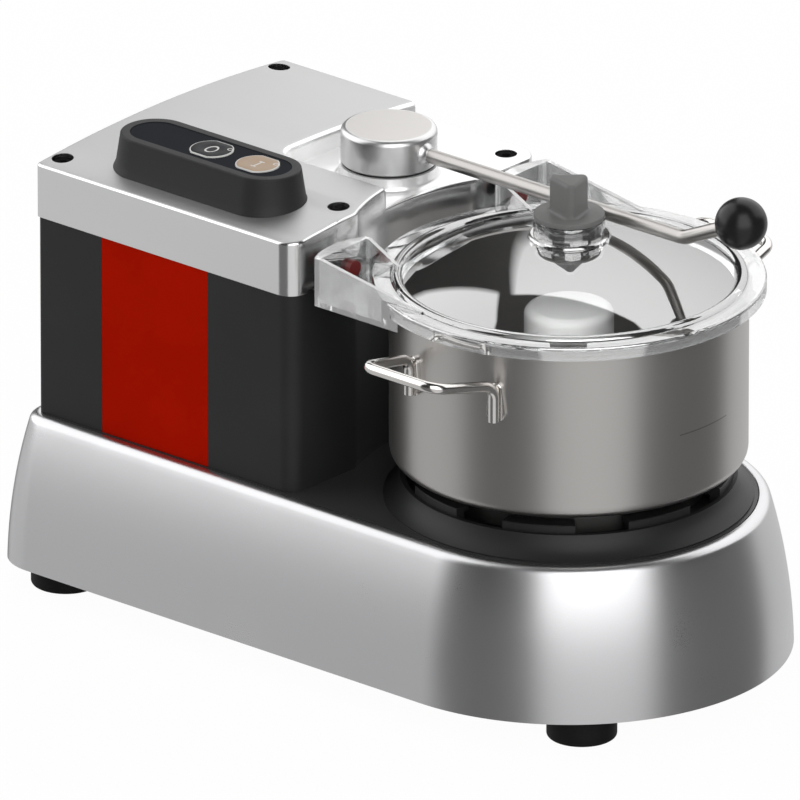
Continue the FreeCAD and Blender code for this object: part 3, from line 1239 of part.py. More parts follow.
def motor():
    plate_top = deck_top + plate_thickness
    stack_bottom = plate_top + shield_height
    stack_top = stack_bottom + motor_stack
    plate = new_body("motor_plate")
    pad(plate, "motor_plate_pad", [polygon(4, motor_radius * 1.62, 45), (0, 0, motor_bearing_radius * 0.7)],
        deck_top, plate_thickness)
    node("motor_plate", put(plate, motor_x))
    stator = turned("motor_stator", ring(motor_core, motor_radius, stack_bottom, stack_top), motor_x)
    node("motor_stator", stator)
    rim = motor_radius - shield_wall
    inner, outer = motor_core + winding_gap, rim - winding_gap
    lower = turned("motor_windings_lower", ring(inner, outer, stack_bottom - winding_height, stack_bottom), motor_x)
    upper = turned("motor_windings_upper", ring(inner, outer, stack_top, stack_top + winding_height), motor_x)
    node("motor_windings", group("motor_windings_group", [lower, upper]))
    hold = motor_bearing_radius + run_gap
    shields, bearings = [], []
    for side, start in ((1, plate_top), (-1, stack_top + shield_height)):
        name = "lower" if side > 0 else "upper"
        face = start + shield_wall * side
        seat, cap = start + motor_bearing_height * side, start + (motor_bearing_height + 2) * side
        shields.append(turned("motor_shield_" + name, [
            (hold, start), (motor_radius, start), (motor_radius, start + shield_height * side),
            (rim, start + shield_height * side), (rim, face), (hold + shield_wall, face),
            (hold + shield_wall, cap), (hold - shield_wall, cap), (hold - shield_wall, seat), (hold, seat)],
            motor_x))
        low = start if side > 0 else start - motor_bearing_height
        bearings.append(turned("motor_bearing_" + name, ring(
            motor_shaft + run_gap, motor_bearing_radius, low, low + motor_bearing_height), motor_x))
    node("motor_shields", group("motor_shields_group", shields))
    node("motor_bearings", group("motor_bearings_group", bearings))
    rotor = turned("motor_rotor", [
        (motor_shaft, stack_bottom - 1), (motor_core / 2, stack_bottom - 1), (motor_core / 2, stack_bottom),
        (motor_core - air_gap, stack_bottom), (motor_core - air_gap, stack_top), (motor_core / 2, stack_top),
        (motor_core / 2, stack_top + 1), (motor_shaft, stack_top + 1)], motor_x)
    node("motor_rotor", rotor)
    shaft_low = belt_level - pulley_width / 2 - 2
    fan_bottom = stack_top + shield_height + 3
    fan_top = fan_bottom + fan_height
    node("motor_shaft", rod("motor_shaft_bar", motor_shaft, fan_top + 2 - shaft_low, motor_x, 0, shaft_low))
    fan = new_body("motor_fan")
    turn(fan, "fan_hub", [
        (motor_shaft, fan_bottom), (fan_radius, fan_bottom), (fan_radius, fan_bottom + 2),
        (motor_shaft * 1.7, fan_bottom + 2), (motor_shaft * 1.7, fan_top), (motor_shaft, fan_top)])
    vane = pad(fan, "fan_vane", [[(motor_shaft * 1.5, -1), (fan_radius - 1, -1), (fan_radius - 1, 1),
                                  (motor_shaft * 1.5, 1)]], fan_bottom + 1, fan_height - 2)
    repeat(fan, "fan_vanes", vane, fan_blades)
    node("motor_fan", put(fan, motor_x))
    node("motor_pulley", pulley("motor_pulley", driver_radius, motor_shaft, motor_x))
    capacitor = turned("capacitor", [
        (0, deck_top), (capacitor_radius, deck_top), (capacitor_radius, deck_top + capacitor_height - 2),
        (capacitor_radius - 2, deck_top + capacitor_height), (capacitor_post, deck_top + capacitor_height),
        (capacitor_post, deck_top + capacitor_height + capacitor_post),
        (0, deck_top + capacitor_height + capacitor_post)],
        bowl_x - tie_far + capacitor_radius, capacitor_side)
    node("capacitor", capacitor)


def pulley(name, radius, bore, x):
    """A flat-belt pulley with two flanges."""
    low, high = belt_level - pulley_width / 2, belt_level + pulley_width / 2
    flange = radius + belt_thickness + pulley_flange
    cheek = (pulley_width - belt_width) / 2 - move_gap
    return turned(name, [
        (bore, low), (flange, low), (flange, low + cheek), (radius, low + cheek), (radius, high - cheek),
        (flange, high - cheek), (flange, high), (bore, high)], x)


def belt_loop(gap):
    """Outline of the belt round both pulleys, a gap away from them."""
    big, small = driven_radius + gap, driver_radius + gap
    lean = (big - small) / motor_reach
    upright = root(1 - lean * lean)
    big_x, small_x = bowl_x - big * lean, motor_x - small * lean
    return [(big_x, -(big * upright)), (bowl_x + big, 0, big, 1), (big_x, big * upright, big, 1),
            (small_x, small * upright), (motor_x - small, 0, small, 1), (small_x, -(small * upright), small, 1)]


def drive():
    belt = new_body("drive_belt")
    pad(belt, "belt_pad", [belt_loop(move_gap + belt_thickness), belt_loop(move_gap)],
        belt_level - belt_width / 2, belt_width)
    node("drive_belt", belt)
    node("driven_pulley", pulley("driven_pulley", driven_radius, shaft_top_radius, bowl_x))

    flange_bottom_level = deck_bottom - spindle_flange_height
    foot = deck_bottom - spindle_length
    hold = bearing_radius + run_gap
    neck_top = deck_top + spindle_neck
    seal_bottom = neck_top - 8
    housing = turned("spindle_housing", [
        (hold, foot), (hold + spindle_wall, foot), (hold + spindle_wall, flange_bottom_level),
        (spindle_flange, flange_bottom_level), (spindle_flange, deck_bottom), (spindle_neck_radius(), deck_bottom),
        (spindle_neck_radius(), neck_top), (seal_radius, neck_top), (seal_radius, seal_bottom),
        (shaft_radius + spindle_wall, seal_bottom), (shaft_radius + spindle_wall, flange_bottom_level),
        (hold, flange_bottom_level)], bowl_x)
    node("spindle_housing", housing)
    upper = flange_bottom_level - bearing_height
    lower = foot + 3
    bearings = [turned("spindle_bearing_%d" % i, ring(shaft_radius + run_gap, bearing_radius, low,
                                                      low + bearing_height), bowl_x)
                for i, low in enumerate((upper, lower))]
    node("spindle_bearings", group("spindle_bearings_group", bearings))
    seal = turned("shaft_seal", ring(shaft_radius + run_gap * 2, seal_radius, seal_bottom, neck_top), bowl_x)
    node("shaft_seal", seal)

    nut_top = knife_level + hub_nut_height
    spacer_bottom = nut_top + blade_thickness
    upper_knife = spacer_bottom + spacer_height
    head_bottom = upper_knife + blade_thickness
    head_top = head_bottom + head_height
    roof = bowl_bottom + tube_height + 3
    shaft_end = roof + shaft_top
    low = belt_level - pulley_width / 2 - 2
    shoulder = belt_level + pulley_width / 2
    shaft = new_body("main_shaft")
    turn(shaft, "shaft_turn", [
        (0, low), (shaft_top_radius, low), (shaft_top_radius, shoulder), (shaft_radius, shoulder),
        (shaft_radius, roof), (0, roof)])
    pad(shaft, "shaft_drive", [polygon(6, shaft_top_radius, 0)], roof, shaft_top)
    node("main_shaft", put(shaft, bowl_x))

    hub = new_body("knife_hub")
    turn(hub, "hub_turn", [
        (hub_bore, knife_level), (sleeve_radius, knife_level), (sleeve_radius, head_bottom),
        (head_radius, head_bottom), (head_radius, head_top - head_edge),
        (head_radius - head_edge, head_top, head_edge, 1), (0, head_top), (0, roof), (hub_bore, roof)])
    pocket(hub, "hub_drive", [polygon(6, shaft_top_radius + run_gap, 0)], shaft_end + 1, shaft_top + 1)
    put(hub, bowl_x)
    dimple = rod("hub_dimple", dimple_radius, head_radius, bowl_x, dimple_depth - head_radius,
                 head_top - 14, Rotation(Vector(1, 0, 0), 90))
    node("knife_hub", less("knife_hub_cut", hub, [dimple]))
    node("knife_nut", turned("knife_nut", ring(sleeve_radius + run_gap, spacer_radius, knife_level, nut_top), bowl_x))
    spacer = turned("knife_spacer", ring(sleeve_radius + run_gap, spacer_radius, spacer_bottom, upper_knife), bowl_x)
    node("knife_spacer", spacer)
    for name, level, angle in (("lower_knife", nut_top, 40), ("upper_knife", upper_knife, 220)):
        node(name, knife(name, level, angle))


def knife(name, level, angle):
    """A sickle knife on its ring."""
    body = new_body(name)
    tip_x = root(blade_reach * blade_reach - blade_lean * blade_lean)
    pad(body, name + "_ring", [(0, 0, spacer_radius)], level, blade_thickness)
    pad(body, name + "_arm", [[(0, spacer_radius), (tip_x, -blade_lean, blade_back, -1),
                               (0, -spacer_radius, blade_edge, 1)]], level, blade_thickness)
    pocket(body, name + "_bore", [(0, 0, sleeve_radius + run_gap)], level + blade_thickness, blade_thickness)
    body.Placement = Placement(Vector(), Rotation(Vector(0, 0, 1), angle))
    return put(body, bowl_x)


def cable_gland():
    x = bowl_x - gland_reach
    hex_out = prism("gland_hexagon", 6, gland_hex, gland_hex_height, x, gland_face, gland_level, BACK)
    cap = rod("gland_cap", gland_thread + 2, gland_hex_height + gland_cap_height, x, gland_face, gland_level, BACK)
    inner_face = gland_face - gland_wall
    thread = rod("gland_thread_bar", gland_thread, gland_wall + gland_tail + gland_hex_height, x,
                 inner_face - gland_tail, gland_level, BACK)
    bore = rod("gland_bore_bar", gland_bore, gland_face, x, gland_face / 2, gland_level, BACK)
    node("cable_gland", less("cable_gland_cut", fused("cable_gland_fuse", [hex_out, cap, thread]), [bore]))
    nut = prism("gland_nut_hexagon", 6, gland_hex, gland_nut_height, x, inner_face - gland_nut_height,
                gland_level, BACK)
    hole = rod("gland_nut_hole", gland_thread + run_gap, gland_nut_height * 2, x, inner_face - gland_nut_height * 1.5,
               gland_level, BACK)
    node("gland_nut", less("gland_nut_cut", nut, [hole]))
    casting = nodes["base_casting"]
    through = rod("gland_through", gland_thread + run_gap, gland_face / 2, x, gland_face * 0.75, gland_level, BACK)
    outside = rod("gland_spot", gland_hex + fit_gap, 20, x, gland_face, gland_level, BACK)
    inside = rod("gland_inner_spot", gland_hex + fit_gap, 20, x, inner_face - 20, gland_level, BACK)
    node("base_casting", less("base_casting_cut", casting, [through, outside, inside]))
    casting.Label = "base_casting_sweep"


base_casting()
plates()
feet()
motor_housing()
top_cover()
tie_bolts()
control_pod()
pod_controls()
bowl_seat()
bowl()
bowl_handle("front_handle", -1)
bowl_handle("rear_handle", 1)
lid_shell()
feed_plug()
lever()
motor()
drive()
cable_gland()

doc.recompute()
faulty = [thing.Name for thing in doc.Objects if set(thing.State) & {"Invalid", "Error"}]
for name, thing in nodes.items():
    if thing.Shape.isNull() or not thing.Shape.isValid():
        faulty.append(name)
if faulty:
    raise SystemExit("not built: " + ", ".join(faulty))
for name, thing in nodes.items():
    thing.Shape.exportStep(os.path.join("parts", name + ".step"))
    print(name, len(thing.Shape.Solids), round(thing.Shape.Volume / 1000, 2), thing.Shape.BoundBox)
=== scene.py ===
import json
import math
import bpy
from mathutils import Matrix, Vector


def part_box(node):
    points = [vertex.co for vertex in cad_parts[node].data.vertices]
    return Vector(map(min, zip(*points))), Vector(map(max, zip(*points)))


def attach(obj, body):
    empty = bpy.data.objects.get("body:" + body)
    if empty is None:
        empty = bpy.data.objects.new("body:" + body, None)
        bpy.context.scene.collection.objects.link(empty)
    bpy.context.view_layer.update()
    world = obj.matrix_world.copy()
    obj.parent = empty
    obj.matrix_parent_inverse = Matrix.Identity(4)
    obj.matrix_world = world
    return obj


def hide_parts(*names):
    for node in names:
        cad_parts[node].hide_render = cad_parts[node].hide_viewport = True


bl_info = {
    "name": "Food Cutter Mixer",
    "version": (1, 0, 0),
    "blender": (4, 5, 0),
    "location": "View3D > Sidebar > Cutter",
    "description": "Dresses the frame of a table-top food cutter mixer and sets up its studio",
    "category": "Object",
}

from collections import namedtuple

import bmesh
import bpy
from mathutils import Matrix, Vector

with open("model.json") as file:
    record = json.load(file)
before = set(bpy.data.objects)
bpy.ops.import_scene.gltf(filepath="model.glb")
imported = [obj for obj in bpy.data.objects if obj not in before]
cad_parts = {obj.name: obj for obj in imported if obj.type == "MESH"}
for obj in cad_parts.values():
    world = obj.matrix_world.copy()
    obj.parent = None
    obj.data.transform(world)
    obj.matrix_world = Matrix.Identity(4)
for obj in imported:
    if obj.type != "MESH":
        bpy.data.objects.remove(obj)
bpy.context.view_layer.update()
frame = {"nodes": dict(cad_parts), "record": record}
MM = 0.001

# Places that the frame gives: vectors are in metres, plain numbers in millimetres


def middle_of(node):
    low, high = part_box(node)
    return (low + high) / 2


def low(node, part=2):
    """The lower side of a node's box in millimetres, along X (0), Y (1) or Z (2)."""
    return round(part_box(node)[0][part] / MM, 2)


def high(node, part=2):
    """The upper side of a node's box in millimetres, along X (0), Y (1) or Z (2)."""
    return round(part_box(node)[1][part] / MM, 2)


BOWL = middle_of("bowl_tube")
AXIS = (round(BOWL.x / MM, 2), round(BOWL.y / MM, 2))
LEVER = middle_of("lever_spindle")
DOME_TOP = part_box("lid_seal")[1].z + 0.0316
COVER_EDGE = high("tie_bolts") + 1.0

# Measures that more than one piece needs, in millimetres

POD_Y = -81.0
BUTTON_RADIUS = 15.0
BUTTON_FLAT = 13.4
HANDLE_HALF = 37.0
HANDLE_ROOT = 119.66


# Numbers and sockets of the finishes


class Signal:
    """A value that changes over a surface; Python's signs on it add Math nodes."""

    def __init__(self, nodes, socket):
        self.nodes = nodes
        self.socket = socket

    def math(self, operation, first, second=0.0):
        return self.nodes.add("ShaderNodeMath", {"operation": operation}, {0: first, 1: second})

    def __add__(self, other):
        return self.math("ADD", self, other)

    def __radd__(self, other):
        return self.math("ADD", other, self)

    def __sub__(self, other):
        return self.math("SUBTRACT", self, other)

    def __rsub__(self, other):
        return self.math("SUBTRACT", other, self)

    def __mul__(self, other):
        return self.math("MULTIPLY", self, other)

    def __truediv__(self, other):
        return self.math("DIVIDE", self, other)

    def __gt__(self, other):
        return self.math("GREATER_THAN", self, other)

    def __lt__(self, other):
        return self.math("LESS_THAN", self, other)

    def size(self):
        return self.math("ABSOLUTE", self)

    def least(self, other):
        return self.math("MINIMUM", self, other)

    def most(self, other):
        return self.math("MAXIMUM", self, other)

    def held(self):
        return self.least(1.0).most(0.0)

    def edge(self, width):
        """1 where the value is below nought, 0 above it, blurred over the width."""
        return (0.5 - self / width).held()


class Nodes:
    """A node tree with short ways to add to it."""

    def __init__(self, tree):
        self.tree = tree

    def add(self, kind, settings=None, inputs=None, output=0):
        """Add a node: its settings first, then the values or links of its sockets."""
        made = self.tree.nodes.new(kind)
        for key, value in (settings or {}).items():
            setattr(made, key, value)
        for key, value in (inputs or {}).items():
            self.feed(made.inputs[key], value)
        return Signal(self, made.outputs[output])

    def feed(self, socket, value):
        if isinstance(value, Signal):
            self.tree.links.new(value.socket, socket)
        else:
            socket.default_value = value

    def place(self, scale=(1, 1, 1), shift=(0, 0, 0)):
        """Object coordinates, moved so that shift is their origin, and scaled."""
        coords = self.add("ShaderNodeTexCoord", output=3)
        moved = self.add("ShaderNodeVectorMath", {"operation": "SUBTRACT"}, {0: coords, 1: shift})
        return self.add("ShaderNodeMapping", None, {"Vector": moved, "Scale": scale})

    def parts(self, vector):
        made = self.tree.nodes.new("ShaderNodeSeparateXYZ")
        self.feed(made.inputs[0], vector)
        return [Signal(self, out) for out in made.outputs]

    def noise(self, vector, scale, detail=2.0, roughness=0.5):
        return self.add("ShaderNodeTexNoise", None, {
            "Vector": vector, "Scale": scale, "Detail": detail, "Roughness": roughness})

    def root(self, value):
        return self.add("ShaderNodeMath", {"operation": "SQRT"}, {0: value})

    def length(self, first, *others):
        """The length of a vector with these parts."""
        total = first * first
        for other in others:
            total = total + other * other
        return self.root(total)

    def azimuth(self, x, y):
        """The direction of a point round an upright axis, in degrees."""
        return self.add("ShaderNodeMath", {"operation": "ARCTAN2"}, {0: y, 1: x}) * (180 / math.pi)

    def lines(self, up, reach, rate):
        """Fine lines that run round an upright axis."""
        return self.add("ShaderNodeTexNoise", {"noise_dimensions": "2D"}, {
            "Vector": self.add("ShaderNodeCombineXYZ", None, {0: up * rate, 1: reach * rate}),
            "Scale": 1.0, "Detail": 3.0, "Roughness": 0.7})

    def mix(self, share, first, second):
        colours = {0: share, 6: first, 7: second}
        return self.add("ShaderNodeMix", {"data_type": "RGBA"}, colours, output=2)

    def blend(self, share, first, second):
        return self.add("ShaderNodeMixShader", None, {0: share, 1: first, 2: second})


class Finish(Nodes):
    """One material, made node by node."""

    def __init__(self, name, colour, **values):
        self.material = bpy.data.materials.new(name)
        self.material.use_nodes = True
        super().__init__(self.material.node_tree)
        self.shader = self.tree.nodes["Principled BSDF"]
        self.put(Base_Color=(*colour, 1.0), **values)

    def put(self, **values):
        for key, value in values.items():
            self.feed(self.shader.inputs[key.replace("_", " ")], value)

    def bump(self, height, distance, strength):
        self.put(Normal=self.add("ShaderNodeBump", None, {
            "Height": height, "Distance": distance, "Strength": strength}))

    def shades(self, share, colour, first, second):
        """A colour that varies between two of its shades."""
        return self.mix(share, shade(colour, first), shade(colour, second))

    def show(self, shader):
        """Show another shader than the plain one."""
        self.tree.links.new(shader.socket, self.tree.nodes["Material Output"].inputs["Surface"])

    def plain(self):
        return Signal(self, self.shader.outputs[0])


# Studio

# A white card has a dull part under the horizon, between two azimuths in degrees. Over the horizon it
# has a brightness that grows with height, two side edges that lean, and an upper edge that is highest
# at one azimuth and rises there to a slope.
Card = namedtuple("Card", "dull dull_first dull_last bright growth first lean last last_lean crest slope")
CARDS = (
    Card(dull=0.58, dull_first=-65, dull_last=-5, bright=2.4, growth=0.0,
         first=-65, lean=0, last=-5, last_lean=0, crest=-35, slope=1.9),
    Card(dull=0.48, dull_first=-200, dull_last=-121, bright=2.1, growth=-0.3,
         first=-195, lean=-7.5, last=-121, last_lean=0, crest=-142, slope=2.8),
    Card(dull=0.55, dull_first=70, dull_last=143, bright=1.25, growth=0.35,
         first=76, lean=-80, last=131, last_lean=14.7, crest=105, slope=2.16),
)


def studio(world):
    """Three tall white cards round a dark room; the camera sees plain white instead."""
    room = Nodes(world.node_tree)
    x, y, z = room.parts(room.add("ShaderNodeTexCoord"))
    turn = room.azimuth(x, y)
    steepest, side_blur, top_blur = 3.0, 3.0, 0.08
    rise = (z / room.root(x * x + y * y + 0.0001)).most(0.0).least(steepest)
    over = (z / 0.09 + 0.1).held()

    def between_edges(first, last):
        """1 between two azimuths, 0 outside them."""
        middle = (first + last) * 0.5
        half = (last - first) * 0.5
        wrapped = room.add("ShaderNodeMath", {"operation": "FLOORED_MODULO"},
                           {0: turn + 540.0 - middle, 1: 360.0}) - 180.0
        return ((half - wrapped.size()) / side_blur + 0.5).held()

    floor_light, wall_light = 0.17, 0.04
    level = floor_light - over * (floor_light - wall_light)
    for card in CARDS:
        level = level + (1.0 - over) * between_edges(card.dull_first, card.dull_last) * card.dull
        side = between_edges(rise * card.lean + card.first, rise * card.last_lean + card.last)
        away = (turn - card.crest) * (math.pi / 180)
        peak = room.add("ShaderNodeMath", {"operation": "COSINE"}, {0: away})
        under_edge = ((peak * card.slope - rise) / top_blur + 0.5).held()
        level = level + over * side * under_edge * (z * (card.bright * card.growth) + card.bright)
    sky = room.add("ShaderNodeBackground", None, {"Color": level})
    white = room.add("ShaderNodeBackground", None, {"Color": (1, 1, 1, 1)})
    seen = room.add("ShaderNodeLightPath", output="Is Camera Ray")
    through = room.add("ShaderNodeLightPath", output="Is Transmission Ray")
    mixed = room.blend((seen + through).held(), sky, white)
    room.tree.links.new(mixed.socket, room.tree.nodes["World Output"].inputs["Surface"])


# Finishes


def shade(colour, factor):
    """A colour made darker or lighter, as a socket takes it."""
    return tuple(part * factor for part in colour[:3]) + (1.0,)


def cast_silver(name, colour, roughness):
    """Satin silver: fine flakes under a thin clear film, a little uneven."""
    finish = Finish(name, colour, Metallic=1.0)
    spot = finish.place()
    flakes = finish.noise(spot, 2600.0, 2.0)
    cloud = finish.noise(spot, 16.0, 3.0)
    finish.put(Roughness=roughness + (cloud - 0.5) * 0.10 + (flakes - 0.5) * 0.08)
    finish.put(Base_Color=finish.shades(flakes, colour, 0.93, 1.05))
    finish.bump(flakes, 0.00002, 0.5)
    return finish


def cover_metal(name, colour, edge, rise, radius):
    """Cast aluminium: a blasted grey crown between smooth, bright edges and walls; the lower level round
    the hub carries a painted highlight, near white and less metallic.
    """
    finish = cast_silver(name, colour, 0.22)
    x, y, z = finish.parts(finish.place())
    crown = (edge + rise) * MM - y * y / (2 * radius * MM)
    ledge = z < crown - 0.0004
    top = 1.0 - ledge
    grain = finish.noise(finish.place(), 1900.0, 3.0)
    step_height, step_left, step_front = 0.2955, -0.1255, -0.016
    # Painted highlight: the lower level round the hub is coloured near white and made less metallic, to
    # stand in for light falling on it.
    hollow = (z > step_height) * (x > step_left) * (y > step_front) * ledge
    edges = finish.mix(hollow, shade(colour, 1.1), (0.93, 0.93, 0.93, 1.0))
    finish.put(Base_Color=finish.mix(top, edges, shade(colour, 0.8)))
    finish.put(Metallic=1.0 - hollow * 0.45)
    finish.put(Roughness=0.2 + top * 0.28 + hollow * 0.05 + (grain - 0.5) * 0.06)
    finish.bump(grain * top, 0.00003, 0.4)
    return finish.material


def hub_metal(name, colour, top):
    """Turned aluminium: fine rings on a matt face inside a bright edge, brushed sides."""
    finish = Finish(name, colour, Metallic=1.0)
    x, y, z = finish.parts(finish.place(shift=(LEVER.x, LEVER.y, 0.0)))
    reach = finish.length(x, y)
    face_radius = 0.0286
    face = (reach < face_radius) * (z > (top - 0.2) * MM)
    rings = finish.lines(z, reach, 4200.0)
    sides = finish.shades(rings, colour, 0.9, 1.05)
    finish.put(Base_Color=finish.mix(face, sides, shade((0.69, 0.67, 0.65), 0.92)))
    finish.put(Roughness=0.34 + face * 0.12 + (rings - 0.5) * 0.12)
    finish.bump(rings, 0.00002, 0.4)
    return finish.material


def satin_paint(name, colour, roughness, specular=0.3):
    """Powder coat with a faint orange peel and dust-dry lighter spots."""
    finish = Finish(name, colour, Specular_IOR_Level=specular)
    spot = finish.place()
    peel = finish.noise(spot, 900.0, 3.0)
    cloud = finish.noise(spot, 22.0, 3.0)
    finish.put(Base_Color=finish.shades(cloud, colour, 0.86, 1.16))
    finish.put(Roughness=roughness + (cloud - 0.5) * 0.10)
    finish.bump(peel, 0.00004, 0.5)
    return finish.material


def turned_steel(name, colour, roughness, axis, level):
    """Steel brushed round an upright axis, with a plain fill line at a level in millimetres."""
    finish = Finish(name, colour, Metallic=1.0)
    x, y, z = finish.parts(finish.place(shift=axis))
    rings = finish.lines(z, finish.length(x, y), 5200.0)
    cloud = finish.noise(finish.place(shift=axis), 9.0, 2.0)
    half_width, half_angle = 0.00045, 11.4
    line = ((z - level * MM).size() - half_width).edge(0.0001)
    mark = line * (finish.azimuth(x, y).size() < half_angle)
    brushed = finish.shades(rings, colour, 0.95, 1.045)
    finish.put(Base_Color=finish.mix(mark, brushed, shade(colour, 0.62)))
    finish.put(Roughness=roughness + (rings - 0.5) * 0.09 + (cloud - 0.5) * 0.03)
    finish.bump(rings, 0.00002, 0.25)
    return finish.material


def plain_steel(name, colour, roughness):
    """Polished or ground steel with a trace of wear."""
    finish = Finish(name, colour, Metallic=1.0)
    spot = finish.place()
    wear = finish.noise(spot, 320.0, 4.0, 0.65)
    finish.put(Base_Color=finish.shades(wear, colour, 0.94, 1.05))
    finish.put(Roughness=roughness + (wear - 0.5) * 0.10)
    return finish.material


def moulded(name, colour, roughness, grain=0.00003, specular=0.5):
    """Moulded plastic or rubber with its fine spark-eroded grain."""
    finish = Finish(name, colour, Specular_IOR_Level=specular)
    spot = finish.place()
    pits = finish.noise(spot, 1500.0, 2.0)
    cloud = finish.noise(spot, 30.0, 2.0)
    finish.put(Base_Color=finish.shades(cloud, colour, 0.92, 1.09))
    finish.put(Roughness=roughness + (pits - 0.5) * 0.12)
    finish.bump(pits, grain, 0.5)
    return finish.material


def marked_button(name, colour, middle, mark, specular):
    """A button's plastic with a printed outline, its plain off or on sign and a small ring."""
    finish = Finish(name, colour, Roughness=0.45, Specular_IOR_Level=specular)
    shift = (middle[0] * MM, middle[1] * MM, 0.0)
    x, y = finish.parts(finish.place(scale=(1 / MM,) * 3, shift=shift))[:2]
    border, blur = 0.9, 0.25
    rim = (finish.length(x, y) - BUTTON_RADIUS).most(y.size() - BUTTON_FLAT)
    outline = (-border - rim).edge(blur)
    if mark == "ring":
        half_width, half_height, stroke = 3.6, 5.2, 0.15
        oval = finish.root(x * x / half_width ** 2 + y * y / half_height ** 2)
        sign = ((oval - 1.0).size() - stroke).edge(0.06)
    else:
        half_width, half_height, stroke = 2.2, 4.6, 0.6
        stem = (x.size() - stroke).most(y.size() - half_height)
        feet = (x.size() - half_width).most((y.size() - half_height).size() - 0.5)
        sign = stem.least(feet).edge(blur)
    dot_radius, dot_stroke = 1.7, 0.35
    dot = ((finish.length(x - 10.3, y - 7.0) - dot_radius).size() - dot_stroke).edge(blur)
    cloud = finish.noise(finish.place(), 60.0, 2.0)
    white = (0.62, 0.62, 0.6, 1.0)
    plain = finish.shades(cloud, colour, 0.93, 1.07)
    finish.put(Base_Color=finish.mix(outline.most(sign).most(dot), plain, white))
    finish.bump(finish.noise(finish.place(), 1500.0, 2.0), 0.00002, 0.4)
    return finish.material


def clear_plastic(name, tint, axis, dome_centre, dome_radius, dome_edge, gloss):
    """Clear moulded plastic with a hard gloss outside; its thin dome hardly bends the light."""
    finish = Finish(name, tint, Roughness=0.02, IOR=1.49, Transmission_Weight=1.0)
    x, y, z = finish.parts(finish.place(shift=(*axis, dome_centre)))
    reach = finish.length(x, y)
    collar = 0.0265
    dome = (reach < dome_edge) * (reach > collar) * (z > 0.0)
    inside = dome * (finish.length(x, y, z) < dome_radius - 0.001)
    window = finish.add("ShaderNodeBsdfTransparent", None, {"Color": (0.95, 0.955, 0.955, 1.0)})
    mirror = finish.add("ShaderNodeBsdfGlossy", None, {"Roughness": 0.0})
    body = finish.blend(dome, finish.plain(), window)
    finish.show(finish.blend((1.0 - inside) * gloss, body, mirror))
    return finish.material


# Meshes


def smooth(bm, name, angle=32.0, turn_out=True):
    """Turn the working mesh into a finished one, with creases where faces meet sharply."""
    bmesh.ops.remove_doubles(bm, verts=bm.verts, dist=2e-6)
    if turn_out:
        bmesh.ops.recalc_face_normals(bm, faces=bm.faces)
    limit = math.radians(angle)
    for face in bm.faces:
        face.smooth = True
    for edge in bm.edges:
        edge.smooth = len(edge.link_faces) == 2 and edge.calc_face_angle(0.0) < limit
    mesh = bpy.data.meshes.new(name)
    bm.to_mesh(mesh)
    bm.free()
    return mesh


def loop(centre, radius, start, stop, steps):
    """Points along an arc; the angles are in degrees."""
    turns = [math.radians(start + (stop - start) * i / steps) for i in range(steps + 1)]
    return [(centre[0] + radius * math.cos(turn), centre[1] + radius * math.sin(turn)) for turn in turns]


def between(first, last, radius, side, steps):
    """The short arc of a radius from one point to another: side is 1 anticlockwise, -1 clockwise."""
    first, last = Vector(first), Vector(last)
    chord = last - first
    back = math.sqrt(radius * radius - chord.length_squared / 4)
    centre = (first + last) / 2 + Vector((-chord.y, chord.x)).normalized() * back * side
    start = math.degrees(math.atan2(first.y - centre.y, first.x - centre.x))
    swing = math.degrees(2 * math.asin(chord.length / 2 / radius)) * side
    return loop(centre, radius, start, start + swing, steps)


def outward(points):
    """A closed outline, anticlockwise, as (x, y, outward x, outward y)."""
    samples = []
    count = len(points)
    for i, point in enumerate(points):
        before, after = Vector(points[i - 1]), Vector(points[(i + 1) % count])
        here = Vector(point)
        first, second = (here - before).normalized(), (after - here).normalized()
        normal = Vector((first.y + second.y, -first.x - second.x))
        normal *= 2 / max(normal.length_squared, 0.5)
        samples.append((here.x, here.y, normal.x, normal.y))
    return samples


def rounded(*arcs):
    """A closed plan outline through arcs, as (x, y, outward x, outward y); the angles are in degrees."""
    samples = []
    for x, y, radius, start, stop, steps in arcs:
        for i in range(steps + 1):
            turn = math.radians(start + (stop - start) * i / steps)
            across, along = math.cos(turn), math.sin(turn)
            samples.append((x + radius * across, y + radius * along, across, along))
    return samples


def skin(rings, closed=False):
    """A working mesh over rings of points in metres; the ends of an open one are capped."""
    bm = bmesh.new()
    rings = [[bm.verts.new(point) for point in ring] for ring in rings]
    pairs = list(zip(rings, rings[1:]))
    if closed:
        pairs.append((rings[-1], rings[0]))
    for first, second in pairs:
        for i in range(len(first)):
            j = (i + 1) % len(first)
            bm.faces.new([first[i], first[j], second[j], second[i]])
    if not closed:
        for ring in (rings[0], rings[-1]):
            bm.faces.new(ring)
    return bm


def polar(centre, radius, turn, height):
    """A point round an upright axis in metres, at a radius and a height in millimetres."""
    return (centre[0] + radius * MM * math.cos(turn), centre[1] + radius * MM * math.sin(turn),
            height * MM)


def lathe(profile, centre, segments=144, closed=True):
    """Turn a profile of (radius, height), in millimetres, about an upright axis."""
    turns = [2 * math.pi * i / segments for i in range(segments)]
    return skin([[polar(centre, radius, turn, height) for turn in turns] for radius, height in profile],
                closed)


def arched(section, middle, angle, steps=14):
    """Sweep a section of (radius, height) through an angle round the upright axis of the origin."""
    turns = [math.radians(middle + angle * (i / steps - 0.5)) for i in range(steps + 1)]
    return skin([[polar((0, 0), radius, turn, height) for radius, height in section] for turn in turns])


def wall(outline, profile, closed=True):
    """Sweep a profile of (outward, height) round a plan outline."""
    return skin([[((x + out * nx) * MM, (y + out * ny) * MM, height * MM) for x, y, nx, ny in outline]
                 for out, height in profile], closed)


def merged(first, *others):
    """One working mesh out of several."""
    for other in others:
        part = bpy.data.meshes.new("part")
        other.to_mesh(part)
        other.free()
        first.from_mesh(part)
        bpy.data.meshes.remove(part)
    return first


